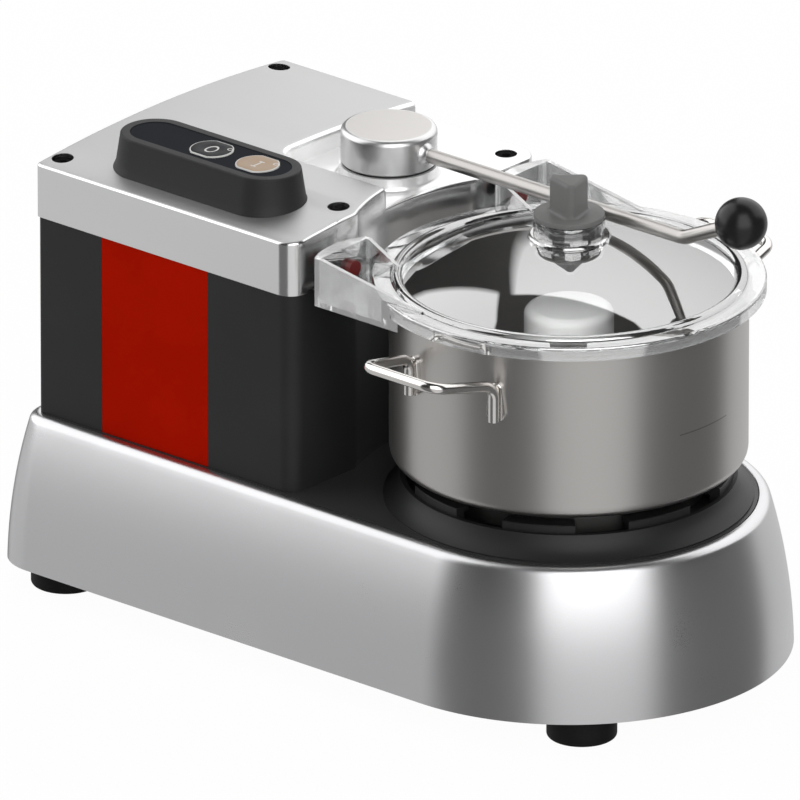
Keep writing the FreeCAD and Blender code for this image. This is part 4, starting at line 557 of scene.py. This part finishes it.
def placed(bm, at, ahead):
    """Point a working mesh's upright axis ahead and bring its origin to a place in millimetres."""
    turn = Vector(ahead).to_track_quat("Z", "Y").to_matrix().to_4x4()
    bm.transform(Matrix.Translation(Vector(at) * MM) @ turn)
    return bm


def body_of(node):
    for body, members in frame["record"]["behaviour"]["bodies"].items():
        if node in members:
            return body
    raise ValueError("no body for " + node)


def shown(node, mesh, material):
    """Show a frame node through a mesh of this script's own, on the node's body and slot."""
    made = bpy.data.objects.new(node + "_finished", mesh)
    bpy.context.scene.collection.objects.link(made)
    mesh.materials.clear()
    mesh.materials.append(material)
    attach(made, body_of(node))
    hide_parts(node)


def dressed(node, material, angle=32.0):
    """Show a frame node through a merged, smooth copy of itself."""
    bm = bmesh.new()
    bm.from_mesh(frame["nodes"][node].data)
    shown(node, smooth(bm, node + "_smooth", angle, turn_out=False), material)


def coat(material, *nodes):
    """Give frame nodes that stay as they are their finish."""
    for node in nodes:
        held = frame["nodes"][node].data.materials
        held.clear()
        held.append(material)


# Trees that repeat a piece or lay a bar along a path


class Growth(Nodes):
    """A Geometry Nodes tree with named inputs, which ends in real faces with a material."""

    def __init__(self, name, **inputs):
        super().__init__(bpy.data.node_groups.new(name, "GeometryNodeTree"))
        sockets = self.tree.interface
        sockets.new_socket("Geometry", in_out="INPUT", socket_type="NodeSocketGeometry")
        self.keys = {}
        for label, kind in inputs.items():
            made = sockets.new_socket(label, in_out="INPUT", socket_type="NodeSocket" + kind)
            self.keys[label] = made.identifier
        sockets.new_socket("Geometry", in_out="OUTPUT", socket_type="NodeSocketGeometry")
        start = self.tree.nodes.new("NodeGroupInput")
        self.given = {socket.name: Signal(self, socket) for socket in start.outputs if socket.name}

    def end(self, geometry):
        real = self.add("GeometryNodeRealizeInstances", None, {"Geometry": geometry})
        coated = self.add("GeometryNodeSetMaterial", None,
                          {"Geometry": real, "Material": self.given["Material"]})
        self.feed(self.tree.nodes.new("NodeGroupOutput").inputs[0], coated)
        return self

    def grow(self, source, into=None, **values):
        """Add to a working mesh what the tree makes from a source mesh."""
        holder = bpy.data.objects.new("holder", source)
        bpy.context.scene.collection.objects.link(holder)
        modifier = holder.modifiers.new("growth", "NODES")
        modifier.node_group = self.tree
        for label, value in values.items():
            modifier[self.keys[label]] = value
        ready = holder.evaluated_get(bpy.context.evaluated_depsgraph_get())
        plain = bpy.data.meshes.new_from_object(ready)
        holder.modifiers.remove(modifier)
        bpy.data.objects.remove(holder)
        into = into or bmesh.new()
        into.from_mesh(plain)
        return into


def copies_tree():
    """Copies of a piece at the points of a mesh, each turned on by a step about its upright axis."""
    tree = Growth("copies", Piece="Object", Step="Float", Material="Material")
    source = tree.add("GeometryNodeObjectInfo", None,
                      {"Object": tree.given["Piece"], "As Instance": True}, output=4)
    turn = tree.add("ShaderNodeCombineXYZ", None, {
        "Z": tree.add("GeometryNodeInputIndex") * tree.given["Step"]})
    rotation = tree.add("FunctionNodeEulerToRotation", None, {0: turn})
    return tree.end(tree.add("GeometryNodeInstanceOnPoints", None, {
        "Points": tree.given["Geometry"], "Instance": source, "Rotation": rotation}))


def bar_tree():
    """A round bar along a path of straight runs, with its corners bent to a radius."""
    tree = Growth("bar", Radius="Float", Bend="Float", Material="Material")
    path = tree.add("GeometryNodeMeshToCurve", None, {"Mesh": tree.given["Geometry"]})
    eased = tree.add("GeometryNodeFilletCurve", {"mode": "POLY"}, {
        "Curve": path, "Radius": tree.given["Bend"], "Count": 12})
    section = tree.add("GeometryNodeCurvePrimitiveCircle", None, {
        "Resolution": 40, "Radius": tree.given["Radius"]})
    return tree.end(tree.add("GeometryNodeCurveToMesh", None, {
        "Curve": eased, "Profile Curve": section, "Fill Caps": True}))


def spots(places, linked=False):
    """A mesh of points in millimetres, joined into a path where linked."""
    mesh = bpy.data.meshes.new("spots")
    links = [(i, i + 1) for i in range(len(places) - 1)] if linked else []
    mesh.from_pydata([[part * MM for part in place] for place in places], links, [])
    return mesh


def copies(pattern, places, material, step=0.0, into=None):
    """Repeat a working mesh at places given in millimetres."""
    source = bpy.data.objects.new("pattern", smooth(pattern, "pattern"))
    bpy.context.scene.collection.objects.link(source)
    made = copies_tree().grow(spots(places), into, Piece=source, Step=math.radians(step),
                              Material=material)
    bpy.data.objects.remove(source)
    return made


def bar(corners, radius, bend, material):
    """A bent round bar through corners given in millimetres."""
    path = spots(corners, linked=True)
    return bar_tree().grow(path, Radius=radius * MM, Bend=bend * MM, Material=material)


# Settings that a user may change


def colour_setting(name, description, default):
    return bpy.props.FloatVectorProperty(name=name, description=description, subtype="COLOR", size=3,
                                         default=default, min=0, max=1)


class CutterLooks(bpy.types.PropertyGroup):
    silver: colour_setting("Base silver", "Colour of the cast base", (0.62, 0.62, 0.63))
    aluminium: colour_setting("Cover aluminium", "Colour of the cover and lever hub", (0.70, 0.70, 0.70))
    steel: colour_setting("Bowl steel", "Colour of the brushed bowl", (0.515, 0.50, 0.485))
    red: colour_setting("Panel red", "Colour of the front panel", (0.30, 0.006, 0.001))
    black: colour_setting("Housing black", "Colour of the black pieces", (0.018, 0.018, 0.019))
    gloss: bpy.props.FloatProperty(
        name="Lid gloss", description="Share of the light that the lid's outside mirrors",
        default=0.5, min=0, max=1)


class CutterStage(bpy.types.PropertyGroup):
    azimuth: bpy.props.FloatProperty(
        name="Azimuth", description="Angle of the camera round the machine", subtype="ANGLE",
        default=math.radians(41.0))
    elevation: bpy.props.FloatProperty(
        name="Elevation", description="Angle of the camera above the table", subtype="ANGLE",
        default=math.radians(22.2))
    distance: bpy.props.FloatProperty(
        name="Distance", description="From the camera to its target", subtype="DISTANCE", default=20.0)
    width: bpy.props.FloatProperty(
        name="View width", description="Width of the view at the target", subtype="DISTANCE",
        default=0.5363)


class CutterStep(bpy.types.Operator):
    """Base of the steps: each makes one group of pieces"""
    bl_options = {"REGISTER", "UNDO"}

    @property
    def looks(self):
        return bpy.context.scene.cutter_looks


def casting():
    """The bulging side of the base, swept round its plan, with its lip, ledge and inner wall."""
    far, half = low("base_casting", 0), high("base_casting", 0) - AXIS[0]
    foot, top = low("base_casting"), high("base_casting")
    corner = 36.0
    plan = rounded((AXIS[0], 0, half, -90, 90, 96),
                   (far + corner, half - corner, corner, 90, 180, 20),
                   (far + corner, corner - half, corner, 180, 270, 20))
    flare, drop, edge, thick, lip, ledge = 397.0, 10.0, 7.0, 5.0, half - 24.0, top - 3
    centre = (half - math.sqrt(flare ** 2 - drop ** 2), foot - drop)
    rise = top - edge - centre[1]
    reach = math.sqrt((flare - edge) ** 2 - rise ** 2)
    turn = math.degrees(math.atan2(rise, reach))
    section = loop(centre, flare, math.degrees(math.asin(drop / flare)), turn, 24)
    section += loop((centre[0] + reach, top - edge), edge, turn, 90, 10)[1:]
    section += [(lip + 0.6, top), (lip, top - 0.6), (lip, ledge), (lip - 8, ledge), (lip - 8, ledge - 5)]
    inner = flare - thick
    upper = math.degrees(math.asin((ledge - 5 - centre[1]) / inner))
    section += loop(centre, inner, upper, math.degrees(math.asin(drop / inner)), 16)
    return wall(plan, [(radius - half, height) for radius, height in section])


class CUTTER_OT_base(CutterStep):
    """Make the cast base, its deck, seat and feet"""
    bl_idname = "cutter.base"
    bl_label = "Base"

    def execute(self, context):
        silver = cast_silver("silver casting", self.looks.silver, 0.30).material
        seat_black = satin_paint("black seat", (0.013, 0.013, 0.013), 0.45)
        # Painted light: the deck's black is lighter than the other blacks, to make up for the shadow that
        # the bowl casts on it.
        black = satin_paint("black deck", (0.034, 0.034, 0.034), 0.38)
        rubber = moulded("foot rubber", (0.009, 0.009, 0.009), 0.6, specular=0.1)
        shown("base_casting", smooth(casting(), "casting", 20.0), silver)
        dressed("deck_plate", black)

        deck = high("deck_plate")
        dish = [(32, deck), (124, deck), (124, deck + 1)]
        dish += between((124, deck + 1), (113, deck + 15.5), 24, -1, 12)[1:]
        dish += [(109.6, deck + 15.5), (109, deck + 14.9), (109, deck + 9), (32, deck + 9)]
        lug = [(102.5, deck + 9), (110, deck + 9), (110, deck + 20.5), (109.5, deck + 21),
               (98.5, deck + 21), (98, deck + 20.5), (98, deck + 17), (102.5, deck + 17)]
        seat = copies(arched(lug, -60, 26), [(*AXIS, 0)] * 8, seat_black, 45.0,
                      lathe(dish, (BOWL.x, BOWL.y)))
        shown("bowl_seat", smooth(seat, "seat"), seat_black)

        foot = [(8, 0)] + loop((21.2, 2.5), 2.5, -90, 0, 6) + [(23.7, 20), (3.3, 20), (3.3, 10), (8, 10)]
        corners = ((AXIS[0] + 85, 85), (low("base_casting", 0) + 38, 112))
        places = [(x, y * side, 0) for x, y in corners for side in (-1, 1)]
        feet = copies(lathe(foot, (0, 0), segments=72), places, rubber)
        shown("rubber_feet", smooth(feet, "feet"), rubber)
        coat(plain_steel("zinc plate", (0.5, 0.5, 0.48), 0.35), "bottom_plate", "foot_screws")
        coat(moulded("gland plastic", (0.03, 0.03, 0.03), 0.4), "cable_gland", "gland_nut")
        return {"FINISHED"}


def button(x, top):
    """A button with round ends and two flats along the pod; its top is a shallow dish."""
    turn = math.degrees(math.asin(BUTTON_FLAT / BUTTON_RADIUS))
    plan = loop((0, 0), BUTTON_RADIUS, -turn, turn, 28)
    plan += loop((0, 0), BUTTON_RADIUS, 180 - turn, 180 + turn, 28)
    levels = ((1, 3.4), (1, 0.4), (0.992, 0.12), (0.973, 0), (0.6, 0), (0.5, 0.12), (0.4, 0.3),
              (0.25, 0.44), (0.1, 0.5))
    return skin([[((x + share * u) * MM, (POD_Y + share * v) * MM, (top - drop) * MM) for u, v in plan]
                 for share, drop in levels])


class CUTTER_OT_housing(CutterStep):
    """Make the drive housing, its red panel, cover and tie bolts"""
    bl_idname = "cutter.housing"
    bl_label = "Drive housing"

    def execute(self, context):
        black = satin_paint("black housing", self.looks.black, 0.5, specular=0.2)
        red = satin_paint("red panel paint", self.looks.red, 0.6, specular=0.0)
        dressed("motor_housing", black)
        dressed("red_panel", red)
        cover = cover_metal("cover aluminium", self.looks.aluminium, COVER_EDGE, rise=6.5, radius=1224.0)
        dressed("top_cover", cover, 28.0)
        bolt_black = satin_paint("bolt black", (0.010, 0.010, 0.010), 0.8, specular=0.02)
        top = COVER_EDGE - 1.0
        seat, shank, head = 133.5, 3.0, 7.2
        bolt = [(0, seat), (shank, seat), (shank, top - 8), (head, top - 8), (head, top - 0.6),
                (head - 0.6, top), (shank, top), (shank, top - 3), (0, top - 3)]
        left, right, back, lower = -234.5, -32, 110, -8.5
        places = [(left, -back, 0), (left, back, 0), (right, -61, 0), (right, back, lower)]
        bolts = copies(lathe(bolt, (0, 0), segments=48, closed=False), places, bolt_black)
        shown("tie_bolts", smooth(bolts, "bolts"), bolt_black)
        coat(black, "button_switches", "reed_switches", "lock_switch")
        return {"FINISHED"}


class CUTTER_OT_pod(CutterStep):
    """Make the control pod with its dark glass and two buttons"""
    bl_idname = "cutter.pod"
    bl_label = "Control pod"

    def execute(self, context):
        plastic = moulded("pod plastic", (0.020, 0.020, 0.0205), 0.5, specular=0.25)
        dressed("control_pod", plastic)
        dressed("pod_glass", moulded("dark glass", (0.0045, 0.0065, 0.0105), 0.5, 0.0, specular=0.035))
        buttons = (("stop_button", -126.9, (0.016, 0.017, 0.019), "ring", 0.12),
                   ("start_button", -86.2, (0.40, 0.29, 0.20), "bar", 0.3))
        for node, x, colour, mark, gloss in buttons:
            finish = marked_button(node, colour, (x, POD_Y), mark, gloss)
            shown(node, smooth(button(x, high(node)), node, 40.0), finish)
        coat(moulded("board lacquer", (0.02, 0.13, 0.06), 0.3), "control_board")
        return {"FINISHED"}


def weld_tab(side, end, bottom):
    """A drop-shaped plate bent round the bowl under a handle's end."""
    low_radius, high_radius, height = 6.75, 4.5, 27.5
    outline = loop((0, bottom + low_radius), low_radius, 180, 360, 20)
    outline += loop((0, bottom + height - high_radius), high_radius, 0, 180, 14)
    middle = math.atan2(HANDLE_ROOT * side, HANDLE_HALF * end)
    waist, bowl_radius = bottom + 14.5, 120.0
    rings = []
    for radius, shrink in ((120.05, 0.0), (122.2, 0.0), (122.75, 0.08)):
        rings.append([polar(BOWL, radius, middle + across * (1 - shrink) / bowl_radius,
                            waist + (up - waist) * (1 - shrink / 2)) for across, up in outline])
    return skin(rings)


def handle(side, material):
    """A bent wire with two tails, and the tabs that they are welded to."""
    x, top = AXIS[0], high("bowl_shell") - 27.0
    corners = []
    for end in (1, -1):
        root = (x + HANDLE_HALF * end, HANDLE_ROOT * side)
        run = [(*root, top - 25), (*root, top), (x + 31.0 * end, 172.5 * side, top + 12.5)]
        corners += run if end == 1 else run[::-1]
    made = bar(corners, 3.75, 11.0, material)
    return merged(made, weld_tab(side, 1, top - 26.5), weld_tab(side, -1, top - 26.5))


class CUTTER_OT_bowl(CutterStep):
    """Make the bowl with its base ring and handles"""
    bl_idname = "cutter.bowl"
    bl_label = "Bowl"

    def execute(self, context):
        steel = turned_steel("brushed bowl", self.looks.steel, 0.34, (BOWL.x, BOWL.y, 0.0), level=204.9)
        wire = plain_steel("handle wire", (0.70, 0.68, 0.66), 0.17)
        floor, rim = low("bowl_shell"), high("bowl_shell")
        shell = [(16.5, floor)] + loop((111, floor + 9), 9, -90, 0, 10)
        shell += [(120, rim - 3.4), (120.7, rim - 3), (121.4, rim - 2.3), (121.5, rim - 1.2),
                  (121.2, rim - 0.3), (120.4, rim), (119.0, rim), (118.5, rim - 0.5)]
        shell += loop((111, floor + 9), 7.5, 0, -90, 10) + [(16.5, floor + 1.5)]
        shown("bowl_shell", smooth(lathe(shell, (BOWL.x, BOWL.y), segments=256), "bowl"), steel)
        dressed("bowl_tube", steel)
        foot = low("bowl_base_ring")
        ring = [(92, foot), (94.5, foot), (95, foot + 0.5), (95, floor), (92, floor)]
        tab = [(94, foot + 1.7), (101, foot + 1.7), (101.5, foot + 2.2), (101.5, foot + 5.2),
               (101, foot + 5.7), (94, foot + 5.7)]
        # Painted shade: the base ring is coloured dark grey, since between the lugs it lies in the bowl's
        # shade.
        dark = plain_steel("dark base ring", (0.10, 0.098, 0.095), 0.5)
        base = copies(arched(tab, -60, 15, 8), [(*AXIS, 0)] * 8, dark, 45.0,
                      lathe(ring, (BOWL.x, BOWL.y)))
        shown("bowl_base_ring", smooth(base, "base ring"), dark)
        for node, side in (("front_handle", -1), ("rear_handle", 1)):
            shown(node, smooth(handle(side, wire), node), wire)
        return {"FINISHED"}


def plug():
    """The plug's hollow stem and flange, its three-sided knob and its tip."""
    tip, top = low("feed_plug"), high("feed_plug")
    flange = tip + 36
    stem = [(0, flange - 24), (15, flange - 24), (16.4, flange - 23.4), (17, flange - 22),
            (17, flange - 4), (19.7, flange - 4), (19.7, flange), (23.0, flange), (23.6, flange + 0.5),
            (23.8, flange + 1.2), (23.8, flange + 3.2), (23.5, flange + 3.8), (22.8, flange + 4),
            (0, flange + 4)]
    plan = []
    for turn in (-45, 75, 195):
        side = math.radians(turn)
        corner = (AXIS[0] + 10 * math.cos(side), AXIS[1] + 10 * math.sin(side))
        plan += loop(corner, 4, turn - 60, turn + 60, 12)
    plan = outward(plan)
    knob = [(2.4, flange + 3.9), (1.4, flange + 4.25), (0.5, flange + 5.0), (0.1, flange + 6.2),
            (0, flange + 8), (0, top - 2.8), (-0.25, top - 1.5), (-0.9, top - 0.6), (-1.8, top - 0.1),
            (-2.8, top)]
    point = [(-1.4, tip), (-0.4, tip + 0.4), (0, tip + 1.4), (0, flange - 23.5)]
    return merged(lathe(stem, (BOWL.x, BOWL.y), segments=120, closed=False),
                  wall(plan, knob, closed=False), wall(plan, point, closed=False))


class CUTTER_OT_lid(CutterStep):
    """Make the clear lid, its seal and the feed plug"""
    bl_idname = "cutter.lid"
    bl_label = "Lid"

    def execute(self, context):
        dome_radius, dome_edge = 0.229, 0.1115
        clear = clear_plastic("clear lid", (0.97, 0.98, 0.98), (BOWL.x, BOWL.y), DOME_TOP - dome_radius,
                              dome_radius, dome_edge, self.looks.gloss)
        dressed("lid_shell", clear)
        dressed("lid_seal", moulded("pale seal", (0.5, 0.5, 0.5), 0.5))
        grey = moulded("grey plug", (0.145, 0.145, 0.142), 0.5, 0.00002, specular=0.3)
        shown("feed_plug", smooth(plug(), "plug", 30.0), grey)
        coat(moulded("magnet enamel", (0.16, 0.02, 0.02), 0.3), "lid_magnets")
        return {"FINISHED"}


class CUTTER_OT_lever(CutterStep):
    """Make the lever that locks the lid"""
    bl_idname = "cutter.lever"
    bl_label = "Lever"

    def execute(self, context):
        x, y = LEVER.x / MM, LEVER.y / MM
        foot, top = low("lever_hub"), high("lever_hub")
        level = foot + 12
        metal = hub_metal("turned hub", self.looks.aluminium, top)
        steel = plain_steel("lever bar", (0.47, 0.455, 0.44), 0.32)
        hub = [(0, foot + 9), (7, foot + 9), (7, foot), (31.9, foot), (32.6, foot + 0.7)]
        hub += loop((28.6, top - 4), 4, 0, 90, 10) + [(0, top)]
        flare = [(5, 0), (7.6, 0)] + [(5.3 + 2.3 * (1 - i / 6) ** 2, 4 + i * 4.5 / 6) for i in range(7)]
        neck = placed(lathe(flare + [(5, 8.5)], (0, 0), segments=64), (x + 28.6, y, level), (1, 0, 0))
        turned = lathe(hub, (LEVER.x, LEVER.y), closed=False)
        shown("lever_hub", smooth(merged(turned, neck), "hub"), metal)
        run, climb = 49.5, 23.0
        bend = (AXIS[0] + 75.0, y, level)
        end = (bend[0] + run, y, level + climb)
        shown("lever_rod", smooth(bar([(x + 18, y, level), bend, end], 5.0, 18.0, steel), "rod"), steel)
        ball = [(0, -15.0), (5.4, -15.0), (5.9, -16.2), (6.5, -16.35)]
        ball += loop((0, 0), 17.6, -68.2, 90, 44)
        round_end = placed(lathe(ball, (0, 0), segments=96, closed=False), end, (run, 0, climb))
        shown("lever_ball", smooth(round_end, "ball"),
              moulded("ball knob", (0.009, 0.009, 0.009), 0.3, 0.0, specular=0.32))
        dressed("hub_washer", moulded("washer", (0.012, 0.012, 0.012), 0.6))
        coat(plain_steel("turned steel", (0.55, 0.55, 0.56), 0.25), "lever_spindle", "switch_cam")
        coat(plain_steel("bronze", (0.5, 0.33, 0.15), 0.35), "lever_bush")
        return {"FINISHED"}


class CUTTER_OT_knives(CutterStep):
    """Make the knives and finish the drive inside the machine"""
    bl_idname = "cutter.knives"
    bl_label = "Knives and drive"

    def execute(self, context):
        plastic = moulded("knife hub plastic", (0.95, 0.95, 0.94), 0.4)
        ground = plain_steel("ground knife", (0.68, 0.68, 0.69), 0.18)
        for node in ("knife_hub", "knife_nut", "knife_spacer"):
            dressed(node, plastic)
        for node in ("lower_knife", "upper_knife"):
            dressed(node, ground)
        turned = plain_steel("turned drive steel", (0.5, 0.5, 0.51), 0.3)
        coat(turned, "main_shaft", "driven_pulley", "motor_pulley", "motor_shaft", "motor_plate",
             "spindle_bearings", "motor_bearings")
        cast = cast_silver("cast drive", (0.5, 0.5, 0.5), 0.4).material
        coat(cast, "spindle_housing", "motor_shields", "capacitor")
        coat(plain_steel("laminated iron", (0.2, 0.2, 0.21), 0.45), "motor_stator", "motor_rotor")
        coat(plain_steel("copper wire", (0.6, 0.25, 0.12), 0.3), "motor_windings")
        coat(moulded("belt rubber", (0.02, 0.02, 0.02), 0.6), "drive_belt", "shaft_seal", "motor_fan")
        return {"FINISHED"}


def pale_floor():
    """A wide floor that the camera sees almost white and that mirrors don't show."""
    mesh = bpy.data.meshes.new("floor")
    reach, white_share = 30, 0.97
    corners = [(-reach, -reach, 0), (reach, -reach, 0), (reach, reach, 0), (-reach, reach, 0)]
    mesh.from_pydata(corners, [], [(0, 1, 2, 3)])
    pale = Finish("pale floor", (0.86, 0.86, 0.86), Roughness=0.9, Specular_IOR_Level=0.0)
    seen, gloss, through = [pale.add("ShaderNodeLightPath", output=name)
                            for name in ("Is Camera Ray", "Is Glossy Ray", "Is Transmission Ray")]
    glow = pale.add("ShaderNodeEmission", None, {"Color": (1, 1, 1, 1), "Strength": 1.0})
    lit = pale.blend((seen + through).held() * white_share, pale.plain(), glow)
    pale.show(pale.blend(gloss, lit, pale.add("ShaderNodeBsdfTransparent")))
    mesh.materials.append(pale.material)
    return bpy.data.objects.new("floor", mesh)


def bowl_lamp():
    """A small lamp under the lid, unseen itself, which lights the knife hub."""
    light = bpy.data.lights.new("bowl lamp", "AREA")
    light.energy = 0.045
    light.size = 0.09
    light.spread = math.radians(110)
    lamp = bpy.data.objects.new("bowl lamp", light)
    lamp.location = (BOWL.x + 0.035, BOWL.y - 0.055, 0.283)
    lamp.rotation_euler = Vector((0.6, -0.9, 0.8)).to_track_quat("Z", "Y").to_euler()
    for way in ("visible_camera", "visible_glossy", "visible_transmission"):
        setattr(lamp, way, False)
    return lamp


def aimed_camera(settings):
    """The camera, on the side that the settings give, aimed at the middle of the picture."""
    a, e = settings.azimuth, settings.elevation
    back = Vector((math.sin(a) * math.cos(e), -math.cos(a) * math.cos(e), math.sin(e)))
    target = Vector((BOWL.x - 0.1492, 0.0, 0.1516))
    lens = bpy.data.cameras.new("camera")
    lens.sensor_width = 36.0
    lens.lens = lens.sensor_width * settings.distance / settings.width
    lens.clip_end = 200.0
    camera = bpy.data.objects.new("camera", lens)
    camera.location = target + back * settings.distance
    camera.rotation_euler = (-back).to_track_quat("-Z", "Y").to_euler()
    return camera


class CUTTER_OT_stage(CutterStep):
    """Make the floor, the lamp, the world and the camera"""
    bl_idname = "cutter.stage"
    bl_label = "Stage"

    def execute(self, context):
        scene = context.scene
        floor = pale_floor()
        scene.collection.objects.link(floor)
        scene.collection.objects.link(bowl_lamp())
        scene.world = bpy.data.worlds.new("studio")
        scene.world.use_nodes = True
        studio(scene.world)
        scene.camera = aimed_camera(scene.cutter_stage)
        scene.collection.objects.link(scene.camera)
        scene.view_settings.view_transform = "Standard"
        return {"FINISHED"}


STEPS = (CUTTER_OT_base, CUTTER_OT_housing, CUTTER_OT_pod, CUTTER_OT_bowl, CUTTER_OT_lid,
         CUTTER_OT_lever, CUTTER_OT_knives, CUTTER_OT_stage)


class CUTTER_PT_panel(bpy.types.Panel):
    """Lists the steps in the sidebar"""
    bl_idname = "CUTTER_PT_panel"
    bl_label = "Food Cutter Mixer"
    bl_space_type = "VIEW_3D"
    bl_region_type = "UI"
    bl_category = "Cutter"

    def draw(self, context):
        for step in STEPS:
            self.layout.operator(step.bl_idname)
        for group in (context.scene.cutter_looks, context.scene.cutter_stage):
            for name in group.bl_rna.properties.keys():
                if name not in ("rna_type", "name"):
                    self.layout.prop(group, name)


CLASSES = (CutterLooks, CutterStage) + STEPS + (CUTTER_PT_panel,)


def register():
    for item in CLASSES:
        bpy.utils.register_class(item)
    bpy.types.Scene.cutter_looks = bpy.props.PointerProperty(type=CutterLooks)
    bpy.types.Scene.cutter_stage = bpy.props.PointerProperty(type=CutterStage)


def unregister():
    del bpy.types.Scene.cutter_looks
    del bpy.types.Scene.cutter_stage
    for item in reversed(CLASSES):
        bpy.utils.unregister_class(item)


def main():
    register()
    for step in STEPS:
        group, name = step.bl_idname.split(".")
        getattr(getattr(bpy.ops, group), name)()


if __name__ == "__main__":
    main()
